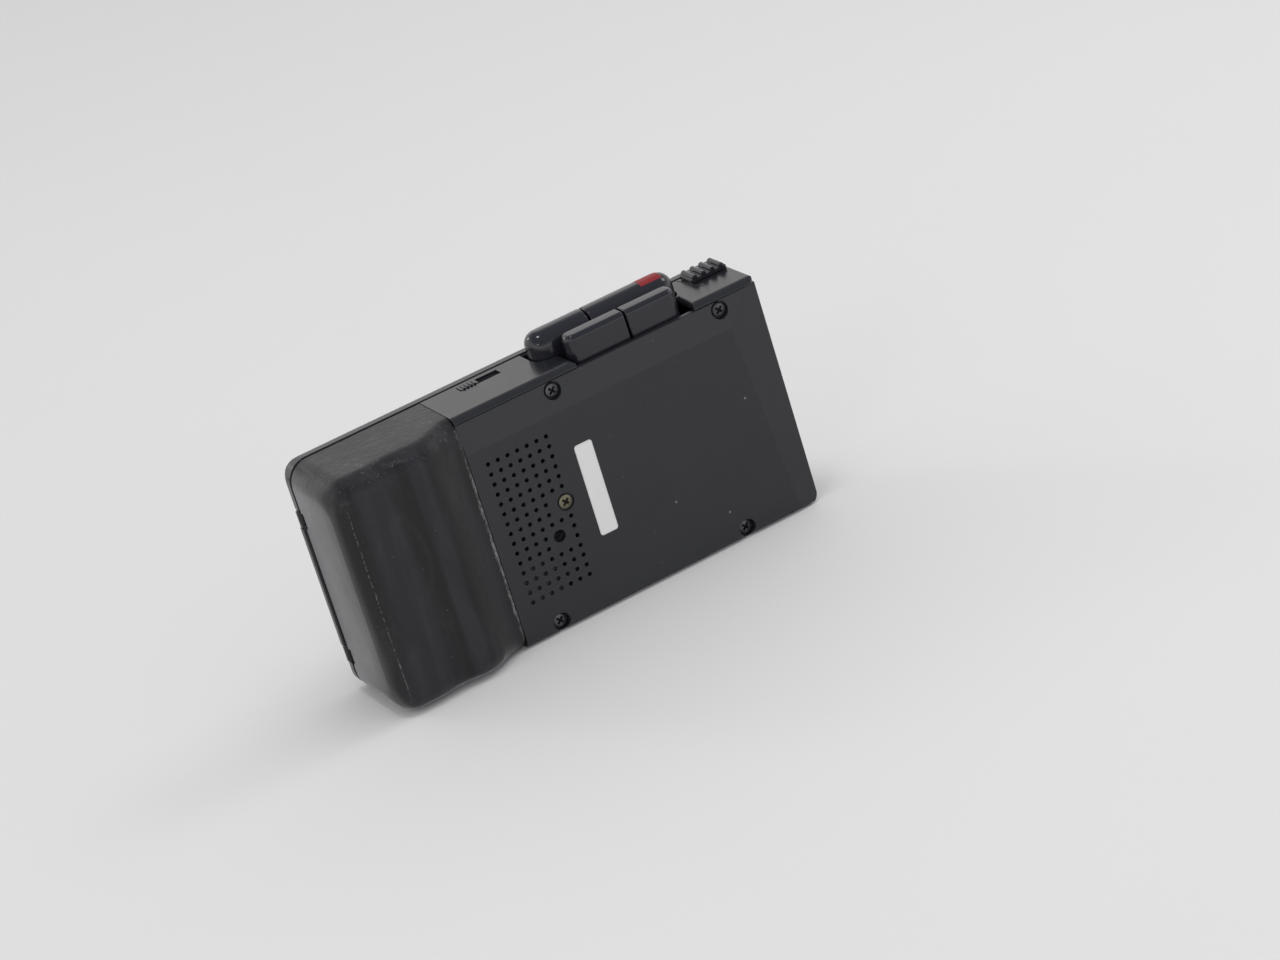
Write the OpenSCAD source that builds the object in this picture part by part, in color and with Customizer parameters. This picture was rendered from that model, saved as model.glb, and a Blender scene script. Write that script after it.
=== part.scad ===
// Hand-held microcassette dictation machine.
// It stands on its long lower side: the back faces -Y, the battery end is at -X and the keys are on top.
// The origin is on the lower side, in the middle of the length and of the whole depth.

/* [Case] */
// Length of the case, end to end
body_l = 125; // [121:1:132]
// Height of the case without its keys
body_h = 63.5; // [63:0.5:70]
// Depth from the flat back to the front face
main_t = 24.5; // [24:0.5:27]
// How far the battery cover stands out behind the flat back
bulge = 5.5; // [5:0.5:6.5]
// Depth of the front shell, from the seam to the front face
front_t = 4.5; // [4.2:0.1:5]
// Thickness of the case walls
wall = 1.6; // [1.4:0.1:1.8]
// Thickness of the rear cover at its rim
rear_t = 3; // [2.8:0.1:3.2]
// Thickness of the rear cover over the mechanism
back_wall = 1.5; // [1.3:0.1:1.7]
// Corner radius of the case at the battery end
corner_l = 6; // [5:0.5:7]
// Lower corner radius of the case at the jack end
corner_r = 2.8; // [2.2:0.2:4]
// Upper corner radius of the case at the jack end
corner_t = 1; // [0.6:0.1:2]
// Rounding of the long top edge at the back
lip_r = 2.2; // [1.8:0.1:2.6]
// Rounding of the edges around the front face
front_r = 1.8; // [1:0.1:2.2]
// Rounding of the long bottom edge at the back
base_r = 2.4; // [1.5:0.1:2.8]
// Height of the sloping band along the top of the back
band_h = 8; // [6:0.5:10]
// How far that band falls away from the flat back
band_drop = 1.5; // [1:0.1:1.6]
// Width of the sloping band at the jack end of the back
end_band = 8.6; // [7:0.2:10]
// How far the end band falls away from the flat back
end_drop = 1.6; // [1:0.1:1.8]
// Slant of the end band's inner edge, in degrees
end_tilt = 5; // [0:1:7]
// Gap between neighbouring case parts
seam = 0.2; // [0.15:0.05:0.25]
// Width of the shadow groove beside the seam of the front shell
groove_w = 0.8; // [0.5:0.1:1]

/* [Battery end] */
// Length of the battery cover along the case
cap_l = 37.6; // [37:0.2:39]
// Wall of the battery cover
cap_wall = 1.5; // [1.3:0.1:1.7]
// Diameter of one cell
cell_d = 14.5; // [14:0.1:14.8]
// Distance between the two cell axes
cell_pitch = 14.7; // [14.5:0.1:15]
// Distance from the cover's seam to the nearer cell axis
cell_in = 12.2; // [11.5:0.1:12.6]
// Depth of the flute between the two cells
flute = 0.8; // [0.3:0.1:1]
// Rounding of the cover's long edges
cap_r = 5.6; // [4:0.2:6]
// Rounding of the cover's edge at the battery end
cap_end_r = 5.2; // [3.2:0.1:5.6]
// How far the cover stands proud of the flat back at its seam
cap_step = 0.3; // [0.2:0.1:0.6]
// How far the hinge rail stands out of the end
rail = 0.5; // [0.45:0.05:0.6]
// Distance of each hinge arm from the middle of the hinge
arm_out = 19; // [17:0.5:20]
// How far the middle of the hinge lies below the middle of the end
arm_low = 2; // [0:0.5:3]
// Width of each hinge arm
arm_w = 4.2; // [3.6:0.2:5]
// Radius of the battery cover's hinge pin
hinge_pin_r = 0.6; // [0.5:0.05:0.7]
// Height of the contact springs
contact_h = 5; // [4:0.5:6]

/* [Grille] */
// Columns of holes
grille_cols = 7; // [5:1:7]
// Rows of holes
grille_rows = 15; // [11:1:15]
// Distance from hole to hole
grille_pitch = 2.75; // [2.6:0.05:2.8]
// Diameter of one hole
grille_d = 1.1; // [0.8:0.1:1.3]
// Radius of the hole for setting the tape speed
adjust_r = 1.6; // [1.2:0.1:1.8]

/* [Label] */
// Width of the label
label_w = 5; // [4:0.5:7]
// Height of the label
label_h = 25; // [20:1:30]
// Thickness of the label
label_t = 0.12; // [0.1:0.02:0.2]

/* [Keys] */
// Distance of the front row from the jack end
row_in = 16.5; // [16:0.5:18]
// Width of the stop key
stop_w = 16.5; // [15:0.1:18]
// Width of the play key
play_w = 24.7; // [23:0.1:25.4]
// Depth of the front keys
front_key_d = 9; // [8:0.2:9.4]
// Height of the front keys above the case
front_key_h = 6.4; // [5.6:0.2:9]
// Distance of the back row from the jack end
back_in = 20.3; // [20:0.1:21]
// Width of the rewind key
rewind_w = 16.5; // [15:0.1:17]
// Width of the forward key
forward_w = 14.6; // [14:0.1:16]
// Depth of the back keys
back_key_d = 6; // [5:0.2:6.4]
// Height of the back keys above the case
back_key_h = 5.2; // [4:0.2:6]
// Gap between two keys of a row
key_gap = 0.5; // [0.3:0.1:0.8]
// Travel of a key
key_travel = 3; // [2.5:0.1:3.2]
// Radius of a key's stem
stem_r = 1.1; // [0.9:0.1:1.2]
// Length of the red mark on the play key
mark_l = 6; // [5:0.2:9]
// Rounding of the outer ends of the front keys
front_end_r = 4; // [2:0.2:4.2]
// Rounding of the outer ends of the back keys
back_end_r = 1.8; // [1:0.1:2.4]

/* [Switches] */
// Length of the ribbed pause slider
pause_l = 10.4; // [9:0.2:11]
// Width of the pause slider
pause_w = 6.2; // [5:0.2:6.4]
// Height of the pause slider's ribs above the case
pause_h = 2.1; // [1.8:0.1:3.2]
// Travel of the pause slider
pause_travel = 1.6; // [1.2:0.1:2]
// Number of ribs on the pause slider
pause_ribs = 4; // [3:1:5]
// Length of the speed slider's knob
speed_l = 5; // [4:0.2:5.6]
// Width of the speed slider's knob
speed_w = 2.6; // [2:0.1:2.8]
// Travel of the speed slider
speed_travel = 6; // [5:0.5:6.5]
// Radius of the volume dial
dial_r = 7.4; // [7:0.1:7.8]
// How far the volume dial stands out of the end
dial_out = 1; // [0.6:0.1:1.4]
// Width of the volume dial
dial_w = 2.6; // [2:0.1:2.7]
// Notches around the volume dial
dial_notches = 24; // [18:1:30]

/* [Jacks] */
// Radius of a jack's bore
jack_r = 1.8; // [1.75:0.01:1.85]
// Radius of a jack's collar
collar_r = 2.6; // [2.4:0.1:2.8]
// Distance between the two jacks
jack_pitch = 8; // [7.6:0.2:8.6]

/* [Cassette] */
// Length of the cassette
cass_l = 50.2; // [49:0.2:51]
// Width of the cassette
cass_w = 33.5; // [33:0.1:34]
// Thickness of the cassette
cass_t = 8.1; // [7.9:0.1:8.4]
// Distance between the two spindles
reel_pitch = 24.5; // [24:0.5:26]
// Room around the cassette in its well
cass_room = 1; // [0.8:0.1:1.2]
// Width of the lid's window
window_w = 34; // [28:1:38]
// Height of the lid's window
window_h = 13; // [10:1:15]

/* [Mechanism] */
// Thickness of the chassis plate
deck_t = 1; // [0.8:0.1:1.2]
// Radius of the flywheel
fly_r = 9; // [8.6:0.1:9.2]
// Radius of the motor
motor_r = 7; // [6.5:0.1:7.2]
// Radius of the motor pulley in its groove
pulley_r = 1.6; // [1.3:0.1:1.8]
// Radius of the spindles' drive discs
disc_r = 5.5; // [5:0.1:5.6]
// Radius of the idler wheel
idler_r = 3; // [2.6:0.1:3.2]
// Radius of the capstan
capstan_r = 0.75; // [0.7:0.05:0.8]
// Radius of the pinch roller
pinch_r = 3; // [2.8:0.1:3.1]
// Travel of the heads
head_travel = 2.4; // [2:0.1:2.5]
// Radius of the speaker
speaker_r = 9.6; // [8.5:0.1:9.8]
// Thickness of the circuit board
board_t = 1; // [0.8:0.1:1.2]

/* [Grip] */
// Number of grip grooves on the front
grip_n = 9; // [5:1:11]
// Length of a grip groove
grip_l = 24; // [16:1:28]
// Width of a grip groove
grip_w = 0.9; // [0.6:0.1:1.2]
// Distance from groove to groove
grip_pitch = 2.8; // [2.4:0.1:3.2]

/* [Hidden] */

$fn = 48;
arc_n = 10;
over = 1;
run = 0.06;

case_c = "#2f2f31";
cap_c = "#28282a";
key_c = "#33343a";
steel_c = "#b9bcc0";
brass_c = "#b5a15a";
board_c = "#3d6b45";
rubber_c = "#1c1c1e";

// Planes of the case
total_t = main_t + bulge;
x_l = -body_l / 2;
x_r = body_l / 2;
x_cap = x_l + cap_l;
y_cap = -total_t / 2;
y_b = y_cap + bulge;
y_in = y_b + back_wall;
y_rim = y_b + rear_t;
y_lip = y_b + band_drop - 0.5;
y_f = total_t / 2;
y_s = y_f - front_t;
y_face = y_f - wall;
lip_z = body_h - wall;
mid_z = body_h / 2;

// Battery bay
cell_x = [x_cap - cell_in - cell_pitch, x_cap - cell_in];
cell_y = y_cap + cap_wall + cell_d / 2 + 0.25;
barrel_r = 1.3;
hinge_x = x_l + barrel_r - rail;
hinge_y = y_s + 2.2;
hinge_z = mid_z - arm_low;
arm_z = [hinge_z - arm_out, hinge_z + arm_out];
arm_slot = arm_w / 2 + 0.3;
tray_x = [x_l + 2.8, x_cap - 0.4];
tray_y = [cell_y + cell_d / 2 + 0.25, cell_y + cell_d / 2 + 1.65];
tray_z = [wall + 0.5, body_h - wall - 0.5];
tray_r = corner_l - 2.6;
tray_wall = 1.4;

// Cassette well, deck and what stands on it: heights are taken from the line where the heads meet the tape
head_z = body_h - 19.5;
cass_x = x_r - 40;
cass_top = head_z - 0.5;
well_x = [cass_x - cass_l / 2 - cass_room, cass_x + cass_l / 2 + cass_room];
well_z = [cass_top - cass_w - cass_room, cass_top + 2.5];
well_wall = 1;
well_top = head_z + 10;
lid_gap = 0.3;
lid_hr = wall / 2;
lid_x = [well_x[0] + lid_gap, well_x[1] - lid_gap];
lid_z = [well_z[0] + lid_gap, well_z[1] - lid_gap];
lid_axis_y = y_f - lid_hr;
lid_axis_z = lid_z[0] + lid_hr;
lid_pin_r = 0.5;
lid_pin_in = 2.4;
deck_y = [y_face - cass_t - 1 - deck_t, y_face - cass_t - 1];
deck_x = [x_cap + 2, cass_x + 29.5];
deck_z = [5, body_h - 8];
capstan_at = [cass_x + 13.5, head_z - 4.5];
reel_z = head_z - 19.5;
supply_at = [cass_x - reel_pitch / 2, reel_z];
takeup_at = [cass_x + reel_pitch / 2, reel_z];
window_z = reel_z + 2;
motor_at = [x_cap + 9.2, 13.3];
bracket_y = [deck_y[0] - 5.2, deck_y[0] - 4.6];
drive_y = [deck_y[0] - 2.1, deck_y[0] - 0.5];
belt_y = deck_y[0] - 3;
belt_w = 1;
belt_t = 0.8;
groove_r = fly_r - 0.4;
bush_r = 2.2;
shaft_r = 1;
idler_pin_r = 0.6;
pinch_pin_r = 0.6;
motor_shaft_r = 0.5;
post_r = 1.6;
plate_y = [deck_y[1] + 0.1, deck_y[1] + 0.9];
pinch_at = [capstan_at.x, capstan_at.y + capstan_r + pinch_r + head_travel + 0.15];
deck_screw_at = [
    [cass_x - 31.5, body_h - 14], [cass_x + 27.8, body_h - 13.5],
    [cass_x - 31.5, deck_z[0] + 3], [cass_x + 27.8, deck_z[0] + 3]
];
bracket_post_at = [
    motor_at + [-5.4, 0], motor_at + [2, -6],
    capstan_at + [8.2, 8.2], capstan_at + [-8.2, 8.2]
];

// Speaker and circuit board, which stands beside it
speaker_at = [x_cap + 11.9, body_h - 23.5];
flange_t = 0.8;
part_h = 3.2;
board_y = [y_in + part_h + 0.2, y_in + part_h + 0.2 + board_t];
board_x = [speaker_at.x + speaker_r + 2.2, x_r - wall - flange_t - 0.1];
board_z = [6, head_z + 3.8];
board_post_at = [
    [board_x[0] + 2.2, board_z[0] + 3], [cass_x + 22.5, board_z[0] + 3], [board_x[0] + 4.2, head_z + 1.5]
];
trim_at = [x_cap + 16.9, body_h - 39.6];
trim_r = 1.7;

// Front: grip grooves, cut into the face over the battery bay
grip_at = [x_cap - grip_l / 2 - 8, mid_z];
grip_dip = 0.4;

// Back: grille and screws
grille_at = [x_cap + 4.9, body_h - 14];
mech_screw_at = [x_cap + 21.15, body_h - 32];
case_screw_at = [
    [x_r - 60.4, body_h - 4.3], [x_r - 11.7, body_h - 4.3], [x_cap + 10.7, 2.7], [x_r - 21.6, 2.7]
];
screw_r = 1.9;
mech_dip = 0.7;
shank_r = 0.95;
seat_r = 2.3;
seat_y = y_b + 2.3;
rim_low = 6.2;
rim_top = 7.4;
rim_end = 10.5;
label_at = [x_r - 57.55, mid_z - 0.4];
label_r = 0.8;

// Keys: each has its range in X, its depth and its stem
front_x = [x_r - row_in - play_w - key_gap - stop_w, x_r - row_in];
stop_x = [front_x[0], front_x[0] + stop_w];
play_x = [front_x[1] - play_w, front_x[1]];
front_y = [y_s - 0.9 - front_key_d, y_s - 0.9];
forward_x = [x_r - back_in - forward_w, x_r - back_in];
rewind_x = [forward_x[0] - key_gap - rewind_w, forward_x[0] - key_gap];
back_y = [y_rim + 0.3, y_rim + 0.3 + back_key_d];
skirt_z = body_h - key_travel - 0.6;
notch_gap = 0.4;
pocket_l = 2.2;
guide_z = [body_h - 10.8, body_h - 9.2];
stem_z = guide_z[0] - 0.8;
front_stem_y = deck_y[0] - 1.7;
back_stem_y = board_y[1] + 0.4;
coil_wire = 0.22;
mark_in = 2.8;
mark_dip = 1.6;
inner_end_r = 0.5;
notch_r = 1.2;

// Switches on the top side, dial and jacks at the end
pause_in = 1.1;
pause_stem_in = 3;
speed_stem_in = 1.7;
stem_gap = 0.2;
pause_x = [x_r - pause_in - pause_l, x_r - pause_in];
pause_y = [y_s - 0.7 - pause_w, y_s - 0.7];
line_from = [x_r - 12.6, pause_y[1]];
line_to = [x_r - 10.7, front_y[0] - 1];
line_w = 0.3;
line_dip = 0.25;
speed_x = (x_cap + front_x[0] - speed_l - speed_travel) / 2 + 0.8;
speed_y = [y_s - 1.9 - speed_w, y_s - 1.9];
speed_dip = 0.7;
switch_h = 3.4;
dial_at = [x_r + dial_out - dial_r, body_h - 34];
dial_y = [deck_y[0] - 0.4 - dial_w, deck_y[0] - 0.4];
pot_r = 1.5;
jack_z = [body_h - 18, body_h - 18 + jack_pitch];
jack_y = board_y[1] + 2.7;
jack_l = 10;
jack_half = 3.2;
panel_y = [jack_y - 4.6, jack_y + 6];
panel_z = [jack_z[0] - 5, jack_z[1] + 5];
lamp_at = [x_r - 5.3, body_h - 20];
mic_at = [x_r - 5.3, body_h - 12];
mic_r = 2.4;
lamp_r = 1.5;
lamp_dip = 2.4;

// Points along an arc, and a rectangle with a radius for each corner: low low, high low, high high, low high
function arc(c, r, a0, a1, n) = [
    for (i = [0:n]) c + r * [cos(a0 + (a1 - a0) * i / n), sin(a0 + (a1 - a0) * i / n)]
];
function corner(c, r, a0) = r > 0 ? arc(c, r, a0, a0 + 90, arc_n) : [c];
function round_rect(p, q, r) = concat(
    corner([p.x + r[0], p.y + r[0]], r[0], 180),
    corner([q.x - r[1], p.y + r[1]], r[1], 270),
    corner([q.x - r[2], q.y - r[2]], r[2], 0),
    corner([p.x + r[3], q.y - r[3]], r[3], 90)
);

// Outline of the case seen from the front, moved inwards by an inset
function outline(inset) = round_rect(
    [x_l + inset, inset], [x_r - inset, body_h - inset],
    [corner_l - inset, corner_r - inset, max(0, corner_t - inset), corner_l - inset]
);

// Back of the battery cover over its length: two crests over the cells, then a slope down to the seam
function cap_back(x) =
    x < cell_x[0] ? y_cap :
    x < cell_x[1] ? y_cap + flute * (1 - cos(360 * (x - cell_x[0]) / cell_pitch)) / 2 :
    y_cap + (bulge - cap_step) * (1 - cos(180 * min(1, (x - cell_x[1]) / cell_in))) / 2;
function cap_plan(inset, x_end) = concat(
    [[x_l + inset, y_s + over]],
    arc([x_l + cap_end_r, y_cap + cap_end_r], cap_end_r - inset, 180, 270, arc_n),
    [for (i = [0:44]) let (x = cell_x[0] + (x_cap - cell_x[0]) * i / 44) [x, cap_back(x) + inset]],
    [[x_end, cap_back(x_cap) + inset], [x_end, y_s + over]]
);

// Centre of the idler, which touches the rims of the flywheel and of the take-up disc
function idler_at() =
    let (
        to = takeup_at - capstan_at,
        d = norm(to),
        ra = fly_r + idler_r + 0.1,
        rb = disc_r + idler_r + 0.1,
        a = (d * d + ra * ra - rb * rb) / (2 * d),
        h = sqrt(ra * ra - a * a)
    )
    capstan_at + a * to / d + h * [-to.y, to.x] / d;

// Loop of a belt around the pulley and the flywheel, a given distance outside their grooves
function belt_loop(out) =
    let (
        to = capstan_at - motor_at,
        turn = atan2(to.y, to.x),
        lean = asin((groove_r - pulley_r) / norm(to))
    )
    concat(
        arc(motor_at, pulley_r + out, turn + 90 + lean, turn + 270 - lean, 12),
        arc(capstan_at, groove_r + out, turn - 90 - lean, turn + 90 + lean, 28)
    );

// Box between two opposite corners
module block(p, q) {
    translate(p) cube(q - p);
}

// Extrusions of a shape drawn in the other two axes, between two places on the axis
module along_x(x0, x1) {
    translate([x0, 0, 0]) rotate([90, 0, 90]) linear_extrude(x1 - x0) children();
}

module along_y(y0, y1) {
    translate([0, y1, 0]) rotate([90, 0, 0]) linear_extrude(y1 - y0) children();
}

module along_z(z0, z1) {
    translate([0, 0, z0]) linear_extrude(z1 - z0) children();
}

// Round rods along each axis
module rod_x(y, z, r, x0, x1) {
    translate([x0, y, z]) rotate([0, 90, 0]) cylinder(r = r, h = x1 - x0);
}

module rod_y(at, r, y0, y1) {
    translate([at.x, y0, at.y]) rotate([-90, 0, 0]) cylinder(r = r, h = y1 - y0);
}

module rod_z(x, y, r, z0, z1) {
    translate([x, y, z0]) cylinder(r = r, h = z1 - z0);
}

// Coil of wire standing on z = 0, whose radius goes from r0 to r1 over its height
module coil(r0, r1, wire, turns, h) {
    per_turn = 14;
    sides = 6;
    last = turns * per_turn;
    ring = [
        for (i = [0:last]) for (k = [0:sides - 1])
            let (
                a = 360 * i / per_turn,
                r = r0 + (r1 - r0) * i / last + wire * cos(360 * k / sides),
                z = wire + (h - 2 * wire) * i / last + wire * sin(360 * k / sides)
            )
            [r * cos(a), r * sin(a), z]
    ];
    skin = [
        for (i = [0:last - 1]) for (k = [0:sides - 1])
            let (n = (k + 1) % sides)
            [i * sides + k, i * sides + n, (i + 1) * sides + n, (i + 1) * sides + k]
    ];
    start = [for (k = [sides - 1:-1:0]) k];
    end = [for (k = [0:sides - 1]) last * sides + k];
    polyhedron(ring, concat(skin, [start, end]), convexity = 6);
}

// Cross-head screw lying along Y: its head ends at the seat, and its shank goes on from there
module screw_y(at, y, head_r, head_h, length, dir) {
    translate([at.x, y, at.y]) rotate([-90 * dir, 0, 0]) difference() {
        union() {
            translate([0, 0, -head_h]) cylinder(r = head_r, h = head_h);
            cylinder(r = shank_r, h = length);
        }
        for (a = [45, 135]) {
            rotate([0, 0, a]) translate([0, 0, -head_h])
                cube([head_r * 1.2, head_r * 0.26, head_h], center = true);
        }
    }
}

module rear_cover() {
    color(case_c) difference() {
        intersection() {
            along_y(y_b, y_rim) polygon(outline(0));
            block([x_cap + seam, y_b - over, -over], [x_r + over, y_rim + over, lip_z - seam]);
            along_x(x_cap, x_r + over)
                polygon(round_rect([y_b, 0], [y_rim + over, body_h], [base_r, 0, 0, 0]));
        }
        along_x(x_cap - over, x_r + over) polygon([
            [y_b, lip_z - band_h], [y_b + band_drop, lip_z], [y_b - over, lip_z]
        ]);
        translate([x_r - end_band, y_b, mid_z]) rotate([0, -end_tilt, 0])
            linear_extrude(2 * body_h, center = true)
            polygon([[0, 0], [2 * end_band, 2 * end_drop], [2 * end_band, -over]]);
        block([x_cap + seam + wall, y_in, rim_low], [x_r - rim_end, y_rim + over, body_h - rim_top]);
        for (c = [0:grille_cols - 1]) for (r = [0:grille_rows - 1]) {
            at = grille_at + grille_pitch * [c, -r];
            if (norm(at - mech_screw_at) > seat_r + grille_d && norm(at - trim_at) > adjust_r + grille_d) {
                rod_y(at, grille_d / 2, y_b - over, y_in + over, $fn = 20);
            }
        }
        for (at = case_screw_at) {
            rod_y(at, seat_r, y_b - over, seat_y);
            rod_y(at, shank_r + 0.2, y_b, y_rim + over);
        }
        rod_y(mech_screw_at, seat_r, y_b - over, y_b + mech_dip);
        rod_y(mech_screw_at, shank_r + 0.2, y_b, y_rim);
        rod_y(trim_at, adjust_r, y_b - over, y_rim);
    }
}

module side_frame() {
    boss_l = 5;
    lip_end_r = 2.6;
    color(case_c) difference() {
        union() {
            difference() {
                intersection() {
                    along_y(y_lip, y_s) polygon(outline(0));
                    block([x_cap + seam, y_lip - over, -over], [x_r + over, y_s + over, body_h + over]);
                    along_x(x_cap, x_r + over)
                        polygon(round_rect([y_lip, 0], [y_s, body_h], [0, 0, 0, lip_r]));
                    along_z(-over, body_h + over)
                        polygon(round_rect([x_cap, y_lip], [x_r, y_s + over], [0, lip_end_r, 0, 0]));
                }
                along_y(y_lip - over, y_s + over) polygon(round_rect(
                    [x_cap + seam + wall, wall], [x_r - wall, lip_z], [0, corner_r - wall, 0, 0]
                ));
                block([x_cap, y_lip - over, -over], [x_r + over, y_rim, lip_z]);
            }
            for (at = case_screw_at) {
                edge = at.y > mid_z ? lip_z + wall / 2 : wall / 2;
                block(
                    [at.x - seat_r, y_rim, min(at.y - seat_r, edge)],
                    [at.x + seat_r, y_rim + boss_l, max(at.y + seat_r, edge)]
                );
            }
        }
        for (at = case_screw_at) rod_y(at, shank_r + 0.05, y_rim - over, y_rim + boss_l - 0.4);
        along_z(lip_z - over, body_h + over) polygon(round_rect(
            [front_x[0] - notch_gap, front_y[0] - notch_gap], [front_x[1] + notch_gap, y_s + over],
            [front_end_r + notch_gap, front_end_r + notch_gap, 0, 0]
        ));
        back_notch([rewind_x[0] - notch_gap, forward_x[1] + pocket_l]);
        along_z(body_h - line_dip, body_h + over) polygon([
            line_to, line_to + [line_w, 0], line_from + [line_w, 0], line_from
        ]);
        slider_slot(pause_x[0] + pause_stem_in - pause_travel, pause_x[1] - pause_stem_in, pause_y);
        block(
            [speed_x - 0.2, speed_y[0] - 0.2, body_h - speed_dip],
            [speed_x + speed_l + speed_travel + 0.2, speed_y[1] + 0.2, body_h + over]
        );
        slider_slot(
            speed_x + speed_stem_in - stem_gap,
            speed_x + speed_l + speed_travel - speed_stem_in + stem_gap, speed_y
        );
        block(
            [x_r - wall - over, dial_y[0] - notch_gap, dial_at.y - dial_r + 1],
            [x_r + over, dial_y[1] + notch_gap, dial_at.y + dial_r - 1]
        );
        block([x_r - wall - over, panel_y[0], panel_z[0]], [x_r + over, panel_y[1], panel_z[1]]);
    }
}

// Notch of the back keys: the top wall is rounded off where it ends beside them
module back_notch(x) {
    along_y(y_lip - over, front_y[0]) polygon(concat(
        [[x[0], lip_z - over], [x[1], lip_z - over]],
        arc([x[1] + notch_r, body_h - notch_r], notch_r, 180, 90, arc_n),
        [[x[1] + notch_r, body_h + over], [x[0] - notch_r, body_h + over]],
        arc([x[0] - notch_r, body_h - notch_r], notch_r, 90, 0, arc_n)
    ));
}

// Slot through the top wall for the stem of a slider
module slider_slot(x0, x1, y) {
    mid = (y[0] + y[1]) / 2;
    block([x0 - stem_gap, mid - 0.7, lip_z - over], [x1 + stem_gap, mid + 0.7, body_h + over]);
}

module front_shell() {
    groove_dip = 0.5;
    mic_hole_r = 0.4;
    mic_ring_r = 1.4;
    color(case_c) difference() {
        union() {
            difference() {
                intersection() {
                    along_y(y_s, y_f) polygon(outline(0));
                    along_x(x_l, x_r)
                        polygon(round_rect([y_s - over, 0], [y_f, body_h], [0, front_r, front_r, 0]));
                    along_z(0, body_h)
                        polygon(round_rect([x_l, y_s - over], [x_r, y_f], [0, 0, front_r, front_r]));
                }
                along_y(y_s - over, y_face) polygon(outline(wall));
            }
            difference() {
                block(
                    [well_x[0] - well_wall, deck_y[1], well_z[0] - well_wall],
                    [well_x[1] + well_wall, y_face + wall / 2, well_top]
                );
                block(
                    [well_x[0], deck_y[1] - over, well_z[0]],
                    [well_x[1], y_face, well_top + over]
                );
            }
            for (at = deck_screw_at) rod_y(at, 2.2, deck_y[1], y_face + wall / 2);
            rod_z(hinge_x, hinge_y, barrel_r, arm_z[0] + arm_slot, arm_z[1] - arm_slot);
        }
        difference() {
            along_y(y_s - over, y_s + groove_w) polygon(outline(-over));
            along_y(y_s - 2 * over, y_s + groove_w + over) polygon(outline(groove_dip));
        }
        block([well_x[0], y_face - over, well_z[0]], [well_x[1], y_f + over, well_z[1]]);
        rod_x(lid_axis_y, lid_axis_z, lid_pin_r + 0.02, well_x[0] - well_wall, well_x[1] + well_wall);
        for (z = arm_z) {
            block([x_l - 2, y_s - over, z - arm_slot], [x_l + 2.5, hinge_y + barrel_r + 0.3, z + arm_slot]);
        }
        rod_z(hinge_x, hinge_y, hinge_pin_r + 0.02, arm_z[0], arm_z[1]);
        for (at = deck_screw_at) rod_y(at, shank_r, deck_y[1] - over, deck_y[1] + 5);
        for (i = [0:grip_n - 1]) {
            z = grip_at.y + grip_pitch * (i - (grip_n - 1) / 2);
            along_y(y_f - grip_dip, y_f + over) polygon(round_rect(
                [grip_at.x - grip_l / 2, z - grip_w / 2], [grip_at.x + grip_l / 2, z + grip_w / 2],
                [grip_w, grip_w, grip_w, grip_w] * 0.45
            ));
        }
        rod_y(lamp_at, lamp_r + 0.05, y_face - over, y_f + over);
        rod_y(mic_at, mic_hole_r, y_face - over, y_f + over, $fn = 20);
        for (a = [0:60:300]) {
            rod_y(mic_at + mic_ring_r * [cos(a), sin(a)], mic_hole_r, y_face - over, y_f + over, $fn = 20);
        }
    }
}

module end_panel() {
    color(case_c) difference() {
        union() {
            block(
                [x_r - wall, panel_y[0] + 0.1, panel_z[0] + 0.1], [x_r, panel_y[1] - 0.1, panel_z[1] - 0.1]
            );
            block(
                [x_r - wall - flange_t, panel_y[0] - 0.8, panel_z[0] - 0.8],
                [x_r - wall, panel_y[1] + 0.8, panel_z[1] + 0.8]
            );
        }
        for (z = jack_z) rod_x(jack_y, z, collar_r + 0.1, x_r - wall - over, x_r + over);
    }
}

module case_screws() {
    color("#202022") for (at = case_screw_at) screw_y(at, seat_y, screw_r, 1, 5, 1);
}

module mechanism_screw() {
    color(brass_c) screw_y(mech_screw_at, y_b + mech_dip, screw_r, mech_dip, 6, 1);
}

module back_label() {
    color("#e6e5e2") along_y(y_b - label_t, y_b) polygon(round_rect(
        label_at - [label_w, label_h] / 2,
        label_at + [label_w, label_h] / 2,
        [label_r, label_r, label_r, label_r]
    ));
}

// Solid of the battery cover, moved inwards by an inset and open at its seam end
module cap_solid(inset, x_end, y_end) {
    intersection() {
        along_y(y_cap, y_end) polygon(outline(inset));
        along_z(0, body_h) polygon(cap_plan(inset, x_end));
        along_x(x_l, x_end) polygon(round_rect(
            [y_cap + inset, inset], [y_end, body_h - inset], [cap_r - inset, 0, 0, cap_r - inset]
        ));
    }
}

module battery_cover() {
    color(cap_c) difference() {
        union() {
            difference() {
                cap_solid(0, x_cap, y_s - seam);
                cap_solid(cap_wall, x_cap + over, y_s);
            }
            for (z = arm_z) {
                rod_z(hinge_x, hinge_y, barrel_r - 0.1, z - arm_w / 2, z + arm_w / 2);
                block(
                    [x_l, y_s - 2, z - arm_w / 2], [x_l + cap_wall, hinge_y, z + arm_w / 2]
                );
            }
        }
        for (z = arm_z) {
            block([x_l - over, y_s - 1.4, z - arm_w / 2], [x_l + cap_wall / 2, y_s + 0.7, z + arm_w / 2]);
        }
        rod_z(hinge_x, hinge_y, hinge_pin_r + run, -over, body_h + over);
    }
}

module battery_hinge_pin() {
    color(steel_c) rod_z(
        hinge_x, hinge_y, hinge_pin_r, arm_z[0] - arm_w / 2, arm_z[1] + arm_w / 2
    );
}

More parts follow.
